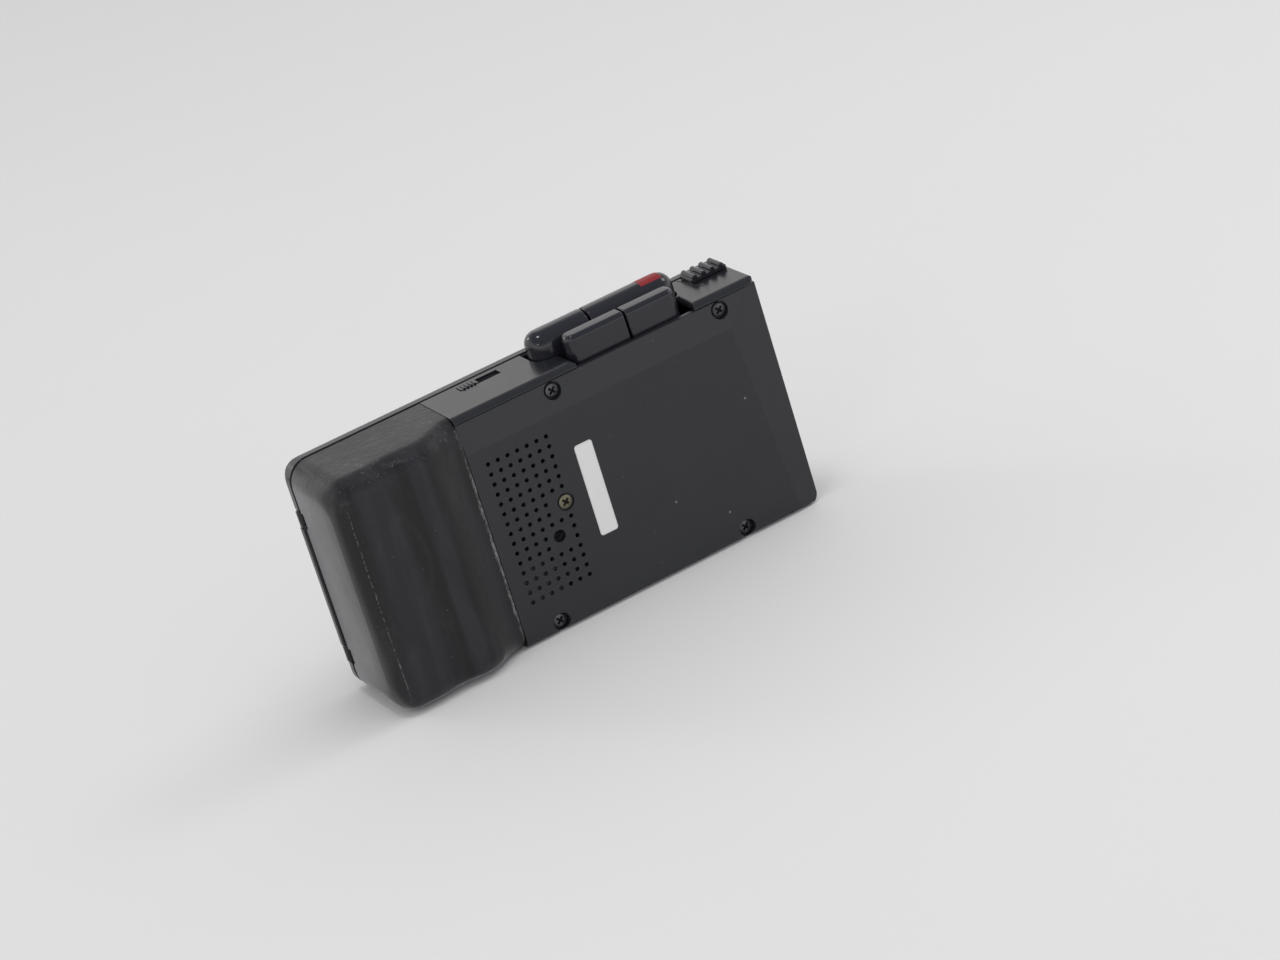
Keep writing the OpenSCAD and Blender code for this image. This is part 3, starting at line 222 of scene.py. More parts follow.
class Paint(Tree):
    """Node tree of one material, with the few textures that the finishes share."""

    def __init__(self, name: str) -> None:
        """Starts a material with an empty node tree."""
        self.material = bpy.data.materials.new(name)
        self.material.use_nodes = True
        super().__init__(self.material.node_tree)
        self._place: Wire | None = None

    def place(self) -> Wire:
        """Point on the object in the CAD frame, in millimetres."""
        if self._place is None:
            self._place = self.node("ShaderNodeTexCoord", out="Object") * PER_M
        return self._place

    def along(self, axis: str) -> Wire:
        """One coordinate of the point, in millimetres."""
        return self.node("ShaderNodeSeparateXYZ", sockets={0: self.place()}, out=axis)

    def noise(self, size: float, detail: float = 2.0, stretch: Point3 = EVEN, bend: float = 0.0) -> Wire:
        """Cloudy pattern between 0 and 1.

        Args:
            size: Size of its clouds, in millimetres.
            detail: Octaves of finer clouds.
            stretch: Factors on the three coordinates: a small one draws the clouds out along that axis.
            bend: Distortion of the clouds.

        Returns:
            The pattern.
        """
        where = self.place() if stretch == EVEN else self.place() * stretch
        sockets = {
            "Vector": where, "Scale": 1.0 / size, "Detail": detail, "Roughness": CLOUD_ROUGHNESS,
            "Distortion": bend
        }
        return self.node("ShaderNodeTexNoise", {}, sockets, "Fac")

    def band(self, value: Wire, low: float, high: float, soft: float) -> Wire:
        """One between two limits and zero outside them, with soft edges."""
        return self.step(value, low - soft, low + soft) * self.step(value, high + soft, high - soft)

    def specks(self, spacing: float, radius: float, share: float) -> Wire:
        """Scattered round specks.

        Args:
            spacing: Distance between the places where a speck may be, in millimetres.
            radius: Radius of a speck, in millimetres.
            share: Part of those places that holds one.

        Returns:
            One on a speck and zero elsewhere.
        """
        sockets = {"Vector": self.place(), "Scale": 1.0 / spacing}
        distance = self.node("ShaderNodeTexVoronoi", {}, sockets, "Distance")
        chance = self.node("ShaderNodeSeparateColor", {}, {0: distance.beside("Color")}, "Red")
        edge = radius / spacing
        return self.step(distance, edge, edge * 0.5) * (chance < share)

    def bump(self, height: Wire, depth: float, under: Wire | None = None) -> Wire:
        """Normal of a surface that a height pattern raises.

        Args:
            height: Pattern between 0 and 1.
            depth: Height of a one in that pattern, in millimetres.
            under: Normal of a coarser pattern below it.

        Returns:
            The normal.
        """
        sockets: dict = {"Height": height, "Distance": depth * MM}
        if under is not None:
            sockets["Normal"] = under
        return self.node("ShaderNodeBump", {}, sockets)

    def surface(self, **sockets: Operand) -> None:
        """Ends the tree with one Principled shader.

        Args:
            sockets: Its inputs, with an underscore for each space in their names.
        """
        named = {key.replace("_", " "): value for key, value in sockets.items()}
        self.close("ShaderNodeOutputMaterial", self.node("ShaderNodeBsdfPrincipled", {}, named))


@dataclass(frozen=True)
class Finish(ABC):
    """A named finish, whose material is made once and shared."""

    name: str

    @abstractmethod
    def coat(self, paint: Paint) -> None:
        """Draws the finish into an empty node tree."""

    def material(self) -> bpy.types.Material:
        """Material of the finish."""
        found = bpy.data.materials.get(self.name)
        if found is not None:
            return found
        paint = Paint(self.name)
        self.coat(paint)
        return paint.material


@dataclass(frozen=True)
class MouldedPlastic(Finish):
    """Injection-moulded plastic: fine spark grain, handling marks and a little dust."""

    colour: Colour = (0.0132, 0.0137, 0.0168)
    roughness: float = 0.36
    grain: float = 0.32
    depth: float = 0.010
    dust: float = 0.25
    uneven: float = 0.10
    ior: float = 1.5
    sheen: float = 0.0

    def coat(self, paint: Paint) -> None:
        """Draws the grain, the handling marks and the dust."""
        normal = paint.bump(paint.noise(self.grain, 2.0), self.depth)
        self.lay(paint, normal)

    def lay(self, paint: Paint, normal: Wire, worn: Wire | None = None, shade: Wire | None = None,
            matte: Wire | None = None) -> None:
        """Finishes the tree from a normal and masks of wear.

        Args:
            paint: Tree to draw in.
            normal: Normal with the grain.
            worn: One where the plastic is rubbed pale.
            shade: Factor on the plastic's colour.
            matte: Roughness on top of the plastic's own.
        """
        clouds = paint.noise(16.0, 4.0)
        handled = paint.step(paint.noise(30.0, 5.0, bend=0.6), 0.48, 0.70)
        colour = paint.mix(clouds, tinted(self.colour, 0.78), tinted(self.colour, 1.28))
        if shade is not None:
            colour = colour * shade
        dust = (paint.specks(3.1, 0.16, 0.30) | paint.specks(1.3, 0.07, 0.16)) * self.dust
        colour = paint.mix(dust, colour, DUST)
        roughness = self.roughness + (clouds - 0.5) * (2.0 * self.uneven)
        roughness = roughness - handled * (0.6 * self.uneven) + dust * 0.4
        if worn is not None:
            colour = paint.mix(worn, colour, RUBBED)
            roughness = roughness + worn * 0.2
        if matte is not None:
            roughness = roughness + matte
        paint.surface(
            Base_Color=colour, Roughness=roughness, Normal=normal, IOR=self.ior, Sheen_Weight=self.sheen,
            Sheen_Roughness=0.3
        )


@dataclass(frozen=True)
class BackPanel(MouldedPlastic):
    """Plastic of the rear cover, with a fine ruled line in its bare field and a few nicks."""

    rule_x: float = 24.2
    rule_half: float = 0.12
    rule_z: Point2 = (11.4, 49.3)
    nicks: tuple[Point2, ...] = ((24.2, 18.1), (37.4, 8.9), (50.2, 35.2))

    def coat(self, paint: Paint) -> None:
        """Draws the grain, the line and the nicks."""
        across = paint.along("X")
        up = paint.along("Z")
        half = self.rule_half
        rule = paint.band(across, self.rule_x - half, self.rule_x + half, half / 2)
        rule = rule * paint.band(up, *self.rule_z, 0.2)
        normal = paint.bump(rule, 0.06, paint.bump(paint.noise(self.grain, 2.0), self.depth))
        chips = paint.specks(9.0, 0.22, 0.10) * paint.step(paint.noise(25.0, 2.0), 0.5, 0.62)
        for x, z in self.nicks:
            away = (across - x) * (across - x) + (up - z) * (up - z)
            chips = chips | paint.step(away, 0.14, 0.05)
        self.lay(paint, normal, chips * 0.7)


@dataclass(frozen=True)
class WornCover(MouldedPlastic):
    """Rubbery plastic of the battery cover, rubbed pale along its crest, its seam and its corners."""

    crest_x: float = -59.35
    crest_z: Point2 = (6.5, 56.0)
    seam_x: float = -25.25
    seam_z: Point2 = (10.0, 50.0)
    outer_flute: Point2 = (-56.8, -47.8)
    inner_flute: Point2 = (-41.4, -36.9)
    top_z: float = 63.5
    bow_from: float = -9.0
    bow_r: float = 95.0

    def coat(self, paint: Paint) -> None:
        """Draws a soft pebbled skin over a bowed end, with painted light on the crests of the cells and
        painted shade in the valley between them and on the slope to the seam, and with its wear on top.
        """
        across = paint.along("X")
        depth = paint.along("Y")
        wobble = (paint.noise(22.0, 2.0) - 0.5) * 0.9
        back = paint.step(depth, -11.0, -13.5)
        forward = depth - self.bow_from | 0.0
        bow = forward * forward * paint.step(across, -59.0, -61.5) * (-0.5 / self.bow_r)
        creases = paint.noise(4.6, 2.0, (1.0, 1.0, 0.08), 0.4) * back
        normal = paint.bump(creases, 0.35, paint.bump(bow, 1.0))
        normal = paint.bump(paint.noise(3.2, 3.0), 0.04, normal)
        scuffed = paint.step(paint.along("Z"), self.top_z - 9.0, self.top_z - 3.0)
        normal = paint.bump(paint.noise(1.6, 4.0) * scuffed, 0.07, normal)
        normal = paint.bump(paint.noise(self.grain, 3.0), self.depth, normal)
        shifted = across + wobble * 2.0
        # Painted light and shade: the crests of the cells are painted lighter, and the valley between them
        # and the slope to the seam darker. The haze is a dusty film.
        painted_crest_light = paint.band(shifted, *self.outer_flute, 1.8) | paint.band(shifted, *self.inner_flute, 0.8)
        haze = paint.step(paint.noise(6.0, 4.0, (1.0, 1.0, 0.14), 0.6), 0.40, 0.66)
        shade = 0.34 + back * painted_crest_light * 0.70 + haze * 0.55
        self.lay(paint, normal, self.wear(paint, wobble), shade, scuffed * 0.11)

    def wear(self, paint: Paint, wobble: Wire) -> Wire:
        """Mask of the pale lines, rubbed corners and scuffs.

        Args:
            paint: Tree to draw in.
            wobble: Distance by which the lines waver, in millimetres.

        Returns:
            One where the cover is rubbed pale.
        """
        across = paint.along("X")
        depth = paint.along("Y")
        up = paint.along("Z")
        fine = paint.step(paint.noise(0.5, 2.0), 0.42, 0.60)
        ragged = paint.noise(1.3, 5.0) - 0.5
        crest = paint.step(abs(across - self.crest_x + wobble + ragged * 0.5), 0.19, 0.03)
        crest = crest * paint.step(depth, -13.0, -13.8) * paint.band(up, *self.crest_z, 3.0)
        crest = crest * paint.step(paint.noise(0.9, 4.0), 0.40, 0.58)
        seam = paint.step(abs(across - self.seam_x + wobble * 0.3 + ragged * 1.4), 0.58, 0.14)
        seam = seam * paint.step(depth, -8.6, -9.0) * (0.30 + 0.70 * paint.band(up, *self.seam_z, 7.0))
        seam = seam * (0.45 + 0.55 * paint.step(paint.noise(2.4, 4.0), 0.38, 0.58))
        top_side = paint.step(up, self.top_z - 4.5, self.top_z - 1.5)
        streaks = paint.step(paint.noise(3.0, 5.0, (0.30, 1.0, 1.0), 0.8), 0.58, 0.74)
        flecks = paint.step(paint.noise(1.0, 3.0, bend=0.5), 0.61, 0.68)
        flecks = flecks * paint.step(paint.noise(9.0, 2.0), 0.45, 0.60)
        corner = paint.step(across, -54.0, -60.5) * paint.step(depth, -9.5, -12.5)
        corner = corner * paint.step(abs(up - self.top_z / 2), 23.0, 29.0)
        corner = corner * paint.step(paint.noise(1.7, 4.0), 0.54, 0.66)
        scuffs = paint.step(paint.noise(7.0, 5.0, (1.0, 1.0, 0.35), 1.2), 0.52, 0.80)
        worn = crest * 0.6 | seam * 0.85 | top_side * (streaks * 0.12 | flecks * 0.40)
        worn = worn | corner * 0.14 | scuffs * 0.06
        return worn * (0.4 + fine * 0.6)


class Metal(Enum):
    """Metals of the machine: base colour, roughness, and stretch of the marks that its making left."""

    STEEL = ((0.56, 0.57, 0.58), 0.30, (0.12, 1.0, 1.0))
    ZINC = ((0.60, 0.60, 0.58), 0.36, EVEN)
    BRASS = ((0.58, 0.47, 0.22), 0.32, (1.0, 0.3, 1.0))
    DULL_BRASS = ((0.20, 0.185, 0.125), 0.40, EVEN)
    BLACKENED = ((0.12, 0.12, 0.13), 0.42, EVEN)
    CHROME = ((0.70, 0.71, 0.72), 0.12, (1.0, 1.0, 0.2))


@dataclass(frozen=True)
class BareMetal(Finish):
    """Metal with rolling or turning marks, dull patches and small pits."""

    metal: Metal = Metal.STEEL

    def coat(self, paint: Paint) -> None:
        """Draws the marks and the dull patches."""
        colour, roughness, stretch = self.metal.value
        marks = paint.noise(0.25, 3.0, stretch)
        dull = paint.step(paint.noise(5.0, 4.0), 0.42, 0.68)
        base = paint.mix(dull, colour, tinted(colour, 0.72))
        base = paint.mix(paint.specks(2.1, 0.10, 0.2), base, tinted(colour, 0.4))
        rough = roughness + (marks - 0.5) * 0.22 + dull * 0.14
        bare: Operand = 1.0
        # Below some depth the metal turns near black, dull and not metallic.
        deep_black = self.deep_black(paint)
        if deep_black is not None:
            base = paint.mix(deep_black, base, DEEP_BLACK)
            rough = rough + deep_black * 0.5
            bare = 1.0 - deep_black
        paint.surface(Base_Color=base, Roughness=rough, Normal=paint.bump(marks, 0.004), Metallic=bare)

    def deep_black(self, paint: Paint) -> Wire | None:
        """Mask of where the metal turns near black and dull, if anywhere."""
        return None


@dataclass(frozen=True)
class ScrewMetal(BareMetal):
    """Metal of a screw head, near black and dull below some depth in the recess."""

    black_depths: Point2 = (0.0, 0.1)

    def deep_black(self, paint: Paint) -> Wire | None:
        """One below the depth where the metal turns near black."""
        return paint.step(paint.along("Y"), *self.black_depths)


@dataclass(frozen=True)
class PaperLabel(Finish):
    """Bare white label: coated paper with a soft tooth, faint fibres and a soiled border."""

    centre: Point2 = (4.95, 31.35)
    half: Point2 = (2.5, 12.5)

    def coat(self, paint: Paint) -> None:
        """Draws the fibres and the soiled border."""
        from_x = abs(paint.along("X") - self.centre[0])
        from_z = abs(paint.along("Z") - self.centre[1])
        half_x, half_z = self.half
        border = paint.step(from_x, half_x - 0.5, half_x) | paint.step(from_z, half_z - 0.6, half_z)
        soil = border * paint.noise(1.2, 4.0)
        fibres = paint.noise(0.16, 4.0, (1.0, 1.0, 0.3))
        base = paint.mix(fibres, (0.745, 0.74, 0.725), (0.80, 0.795, 0.78))
        base = paint.mix(soil * 0.55, base, (0.42, 0.40, 0.36))
        base = paint.mix(paint.specks(2.6, 0.09, 0.2) * 0.5, base, (0.3, 0.28, 0.25))
        roughness = 0.46 + fibres * 0.14
        paint.surface(Base_Color=base, Roughness=roughness, Normal=paint.bump(fibres, 0.006), IOR=1.46)


@dataclass(frozen=True)
class SmokedWindow(Finish):
    """Clear smoked plastic with fine wiping scratches."""

    tint: Colour = (0.20, 0.205, 0.215)

    def coat(self, paint: Paint) -> None:
        """Draws the scratches into the roughness."""
        wiped = paint.step(paint.noise(0.5, 4.0, (0.05, 1.0, 1.0)), 0.58, 0.72)
        haze = paint.noise(9.0, 3.0)
        base = paint.mix(haze, self.tint, tinted(self.tint, 1.15))
        paint.surface(
            Base_Color=base, Roughness=0.03 + haze * 0.05 + wiped * 0.12, Normal=paint.bump(wiped, 0.003),
            Transmission_Weight=1.0, IOR=1.49
        )


@dataclass(frozen=True)
class SoftRubber(Finish):
    """Black rubber: matte, with a dusty bloom."""

    colour: Colour = (0.012, 0.012, 0.013)

    def coat(self, paint: Paint) -> None:
        """Draws the bloom and a ground surface."""
        bloom = paint.step(paint.noise(2.8, 4.0), 0.45, 0.72)
        ground = paint.noise(0.22, 3.0)
        base = paint.mix(bloom * 0.5, self.colour, (0.05, 0.05, 0.05))
        roughness = 0.62 + bloom * 0.18
        paint.surface(Base_Color=base, Roughness=roughness, Normal=paint.bump(ground, 0.012), IOR=1.52)


@dataclass(frozen=True)
class BoardLacquer(Finish):
    """Circuit board: green lacquer over copper tracks, with tinned pads."""

    def coat(self, paint: Paint) -> None:
        """Draws tracks and pads below the lacquer."""
        ripple = paint.noise(4.5, 1.0, bend=0.4)
        track = paint.step(abs(ripple - 0.5), 0.035, 0.02) | paint.step(abs(ripple - 0.62), 0.02, 0.012)
        pads = paint.specks(2.3, 0.5, 0.45)
        base = paint.mix(track, (0.022, 0.085, 0.032), (0.055, 0.15, 0.05))
        base = paint.mix(pads, base, (0.55, 0.54, 0.50))
        weave = paint.noise(0.4, 2.0)
        normal = paint.bump(track | pads, 0.03, paint.bump(weave, 0.008))
        paint.surface(Base_Color=base, Roughness=0.30 + weave * 0.1, Metallic=pads * 0.9, Normal=normal)


@dataclass(frozen=True)
class Felt(Finish):
    """Dust felt in front of the speaker."""

    def coat(self, paint: Paint) -> None:
        """Draws matted fibres."""
        fibres = paint.noise(0.18, 5.0, bend=1.5)
        base = paint.mix(fibres, (0.006, 0.006, 0.007), (0.022, 0.022, 0.024))
        roughness = 0.9 + fibres * 0.1
        paint.surface(Base_Color=base, Roughness=roughness, Normal=paint.bump(fibres, 0.08), Sheen_Weight=0.3)


@dataclass(frozen=True)
class LampLens(Finish):
    """Moulded lens of the record lamp."""

    colour: Colour = (0.42, 0.018, 0.015)

    def coat(self, paint: Paint) -> None:
        """Draws a cloudy lens."""
        cloud = paint.noise(0.9, 3.0)
        base = paint.mix(cloud, self.colour, tinted(self.colour, 0.7))
        paint.surface(
            Base_Color=base, Roughness=0.12 + cloud * 0.1, Subsurface_Weight=0.3,
            Subsurface_Radius=(0.6, 0.1, 0.1), Subsurface_Scale=MM
        )


@dataclass(frozen=True)
class PaleFloor(Finish):
    """Plain pale table top."""

    def coat(self, paint: Paint) -> None:
        """Draws a faintly uneven pale sheet."""
        clouds = paint.noise(260.0, 3.0)
        base = paint.mix(clouds, (0.792, 0.785, 0.764), (0.816, 0.809, 0.786))
        paint.surface(Base_Color=base, Roughness=0.72 + clouds * 0.08)


CASE_BLACK = MouldedPlastic("moulded_case", roughness=0.25, depth=0.006)
PANEL_BLACK = BackPanel("moulded_back_panel")
COVER_BLACK = WornCover(
    "rubbed_battery_cover", colour=(0.0118, 0.0119, 0.0142), roughness=0.42, grain=0.42, depth=0.014,
    dust=0.25, ior=1.41, sheen=0.5
)
KEY_BLACK = MouldedPlastic(
    "moulded_keys", colour=(0.0140, 0.0145, 0.0190), roughness=0.12, grain=0.6, depth=0.001, dust=0.05,
    uneven=0.04
)
# Paler copy of the case plastic for the hinge strip: its pale tone is painted light, standing in for the
# light that the strip catches at the end.
LIT_STRIP_PLASTIC = MouldedPlastic("painted_light_hinge_strip", colour=(0.055, 0.054, 0.055), roughness=0.40, depth=0.012)
TRAY_GREY = MouldedPlastic("moulded_tray", colour=(0.032, 0.032, 0.034), roughness=0.5, dust=0.3)
PLAIN_BLACK = MouldedPlastic("moulded_small_parts", colour=(0.014, 0.014, 0.015), roughness=0.45, dust=0.05)
RECORD_RED = MouldedPlastic(
    "red_inlay", colour=(0.25, 0.012, 0.015), roughness=0.5, grain=0.5, depth=0.004, dust=0.08, uneven=0.06,
    ior=1.4
)
PALE_PLASTIC = MouldedPlastic("pale_acetal", colour=(0.62, 0.61, 0.57), roughness=0.42, depth=0.006, dust=0.0)
STEEL = BareMetal("rolled_steel", Metal.STEEL)
ZINC = BareMetal("zinc_plate", Metal.ZINC)
BRASS = BareMetal("turned_brass", Metal.BRASS)
SCREW_BRASS = ScrewMetal("dull_brass_screw", Metal.DULL_BRASS, (-9.32, -9.22))
SCREW_BLACK = ScrewMetal("blackened_screw", Metal.BLACKENED, (-8.0, -7.85))
CHROME = BareMetal("polished_head", Metal.CHROME)
LABEL_PAPER = PaperLabel("bare_label_paper")
SMOKED = SmokedWindow("smoked_window")
RUBBER = SoftRubber("black_rubber")
BOARD = BoardLacquer("board_lacquer")
FELT = Felt("speaker_felt")
LENS = LampLens("lamp_lens")
FLOOR = PaleFloor("pale_floor")


class Axis(Enum):
    """Axis that a turned or drawn-out shape follows."""

    X = 0
    Y = 1
    Z = 2

    def point(self, along: float, first: float, second: float) -> Vector:
        """Point at a distance along the axis, with the other two coordinates in their usual order."""
        parts = [first, second]
        parts.insert(self.value, along)
        return Vector(parts)


class Draft:
    """Mesh of one piece while it is drawn, in millimetres of the CAD frame."""

    def __init__(self, name: str) -> None:
        """Starts an empty mesh."""
        self.name = name
        self.bm = bmesh.new()

    def skin(self, rings: Sequence[Sequence[Vector]], closed: bool = True, caps: bool = True) -> None:
        """Joins rings of points into a surface.

        Args:
            rings: Rings of equally many points. A ring of one point closes the surface there.
            closed: Whether each ring joins its last point to its first.
            caps: Whether the first and the last ring are filled.
        """
        made = [[self.bm.verts.new(point) for point in ring] for ring in rings]
        for near, far in zip(made, made[1:]):
            count = max(len(near), len(far))
            for k in range(count if closed else count - 1):
                ends = (k, k + 1)
                corners = [near[n % len(near)] for n in ends] + [far[n % len(far)] for n in reversed(ends)]
                unique = list(dict.fromkeys(corners))
                if len(unique) > 2:
                    self.bm.faces.new(unique)
        if caps:
            for ring in (made[0], made[-1]):
                if len(ring) > 2:
                    self.bm.faces.new(ring)

    def turned(self, profile: Iterable[Point2], centre: Point2, axis: Axis, steps: int = 48) -> None:
        """Turns a profile round an axis.

        Args:
            profile: Pairs of a radius and a place along the axis. A radius of zero closes the shape.
            centre: The axis's other two coordinates.
            axis: Direction of the axis.
            steps: Points round the shape.
        """
        rings = []
        for radius, along in profile:
            turns = range(steps) if radius > 0 else range(1)
            angles = [math.tau * k / steps for k in turns]
            rings.append([
                axis.point(along, centre[0] + radius * math.cos(a), centre[1] + radius * math.sin(a))
                for a in angles
            ])
        self.skin(rings)

    def tube(self, path: Sequence[Vector], radius: float, sides: int = 10) -> None:
        """Draws a round wire along a path.

        Args:
            path: Points of its middle line.
            radius: Radius of the wire.
            sides: Points round it.
        """
        rings = []
        side = (path[1] - path[0]).orthogonal().normalized()
        for k, point in enumerate(path):
            ahead = (path[min(k + 1, len(path) - 1)] - path[max(k - 1, 0)]).normalized()
            side = (side - ahead * side.dot(ahead)).normalized()
            up = ahead.cross(side)
            angles = [math.tau * n / sides for n in range(sides)]
            rings.append([point + radius * (side * math.cos(a) + up * math.sin(a)) for a in angles])
        self.skin(rings)

    def prism(self, outline: Sequence[Point2], low: float, high: float, axis: Axis) -> None:
        """Draws an outline out along an axis, between two places."""
        self.skin([[axis.point(along, *point) for point in outline] for along in (low, high)])

    def _temporary(self) -> bpy.types.Object:
        """Object that holds the mesh as it is now."""
        bmesh.ops.recalc_face_normals(self.bm, faces=self.bm.faces)
        mesh = bpy.data.meshes.new(self.name)
        self.bm.to_mesh(mesh)
        made = bpy.data.objects.new(self.name, mesh)
        bpy.context.scene.collection.objects.link(made)
        return made

    def _take(self, made: bpy.types.Object) -> None:
        """Takes back an object's mesh with its modifiers applied, and removes the object."""
        bpy.context.view_layer.update()
        graph = bpy.context.evaluated_depsgraph_get()
        result = bpy.data.meshes.new_from_object(made.evaluated_get(graph))
        self.bm.clear()
        self.bm.from_mesh(result)
        plain = made.data
        bpy.data.objects.remove(made)
        bpy.data.meshes.remove(plain)
        bpy.data.meshes.remove(result)

    def thicken(self, wall: float) -> None:
        """Gives an open skin a wall on its inner side."""
        made = self._temporary()
        shell = made.modifiers.new("wall", "SOLIDIFY")
        shell.thickness = wall
        shell.offset = -1.0
        shell.use_even_offset = True
        shell.use_quality_normals = True
        self._take(made)

    def combine(self, tool: "Draft", operation: str = "DIFFERENCE") -> None:
        """Cuts another draft out of this one, or joins the two.

        Args:
            tool: Draft that is used up.
            operation: DIFFERENCE or UNION.
        """
        made = self._temporary()
        other = tool._temporary()
        cut = made.modifiers.new("cut", "BOOLEAN")
        cut.operation = operation
        cut.solver = "EXACT"
        cut.object = other
        self._take(made)
        spent = other.data
        bpy.data.objects.remove(other)
        bpy.data.meshes.remove(spent)

    def piece(
        self, finish: Finish, body: str, edge: float = 0.0, sharp: float = 38.0
    ) -> bpy.types.Object:
        """Makes the piece from the draft.

        Args:
            finish: Its finish.
            body: CAD body that it rides on.
            edge: Width of the bevel on its sharp edges, in millimetres, or zero.
            sharp: Angle above which an edge is sharp, in degrees.

        Returns:
            The piece.
        """
        bmesh.ops.remove_doubles(self.bm, verts=self.bm.verts, dist=JOIN_MM)
        bmesh.ops.recalc_face_normals(self.bm, faces=self.bm.faces)
        bmesh.ops.scale(self.bm, vec=(MM, MM, MM), verts=self.bm.verts)
        mesh = bpy.data.meshes.new(self.name)
        self.bm.to_mesh(mesh)
        self.bm.free()
        mesh.shade_smooth()
        mesh.set_sharp_from_angle(angle=math.radians(sharp))
        mesh.materials.append(finish.material())
        made = bpy.data.objects.new(self.name, mesh)
        bpy.context.scene.collection.objects.link(made)
        if edge > 0:
            soften(made, edge, sharp)
        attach(made, body)
        LOG.info("piece %s on %s", self.name, body)
        return made


def soften(made: bpy.types.Object, edge: float, sharp: float) -> None:
    """Rounds the sharp edges of an object with a bevel.

    Args:
        made: Object to soften.
        edge: Width of the bevel, in millimetres.
        sharp: Angle above which an edge is sharp, in degrees.
    """
    bevel = made.modifiers.new("edge", "BEVEL")
    bevel.width = edge * MM
    bevel.segments = 2
    bevel.limit_method = "ANGLE"
    bevel.angle_limit = math.radians(sharp)
    bevel.use_clamp_overlap = False
    bevel.loop_slide = False
    bevel.harden_normals = True


def dress(node: str, finish: Finish, edge: float) -> None:
    """Gives a CAD node its finish and, with modifiers alone, soft edges.

    Args:
        node: Name of the CAD node.
        finish: Finish of its surface.
        edge: Width of the bevel on its sharp edges, in millimetres, or zero.
    """
    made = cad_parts[node]
    for slot in made.material_slots:
        slot.material = finish.material()
    weld = made.modifiers.new("weld", "WELD")
    weld.merge_threshold = WELD_M
    if edge > 0:
        flat = made.modifiers.new("flat", "DECIMATE")
        flat.decimate_type = "DISSOLVE"
        flat.angle_limit = math.radians(FLAT_DEG)
        soften(made, edge, SHARP_DEG)
    LOG.info("node %s in %s", node, finish.name)


def dress_all(rows: Iterable[tuple[str, Finish, float]]) -> None:
    """Dresses several CAD nodes, each with its name, its finish and the width of its bevel."""
    for node, finish, edge in rows:
        dress(node, finish, edge)


def arc(centre: Point2, radius: float, start: float, end: float, steps: int) -> list[Point2]:
    """Points along an arc.

    Args:
        centre: Its centre.
        radius: Its radius.
        start: First angle, in degrees.
        end: Last angle, in degrees.
        steps: Parts that the arc is divided into.

    Returns:
        The points, both ends included.
    """
    angles = [math.radians(start + (end - start) * k / steps) for k in range(steps + 1)]
    return [(centre[0] + radius * math.cos(a), centre[1] + radius * math.sin(a)) for a in angles]


def spread(low: float, high: float, parts: int) -> list[float]:
    """Evenly spaced values from low to high, both included."""
    return [low + (high - low) * k / parts for k in range(parts + 1)]


def round_in(radius: float, along: float) -> float:
    """How far a rounded end of some radius lies inside its full outline, at a distance from its tip."""
    if radius <= 0 or along >= radius:
        return 0.0
    return radius - math.sqrt(max(0.0, radius ** 2 - (radius - along) ** 2))


def tip_stations(radius: float, steps: int) -> list[float]:
    """Distances from a rounded tip that divide its quarter circle evenly."""
    return [radius * (1.0 - math.cos(math.radians(90.0 * k / steps))) for k in range(steps + 1)]


def helix(
    centre: Point2, low: float, high: float, radii: Point2, turns: float, per_turn: int = 28
) -> list[Vector]:
    """Middle line of an upright coil.

    Args:
        centre: X and Y of its axis.
        low: Height of its first point.
        high: Height of its last point.
        radii: Radius at its first and at its last point.
        turns: Number of turns, flat over the closed turn at each end.
        per_turn: Points in a turn.

    Returns:
        The points.
    """
    count = int(turns * per_turn)
    path = []
    for k in range(count + 1):
        share = k / count
        lift = min(1.0, max(0.0, (share * turns - CLOSED_TURN) / (turns - 2 * CLOSED_TURN)))
        angle = math.tau * turns * share
        radius = radii[0] + (radii[1] - radii[0]) * share
        path.append(Vector((
            centre[0] + radius * math.cos(angle),
            centre[1] + radius * math.sin(angle),
            low + (high - low) * lift,
        )))
    return path


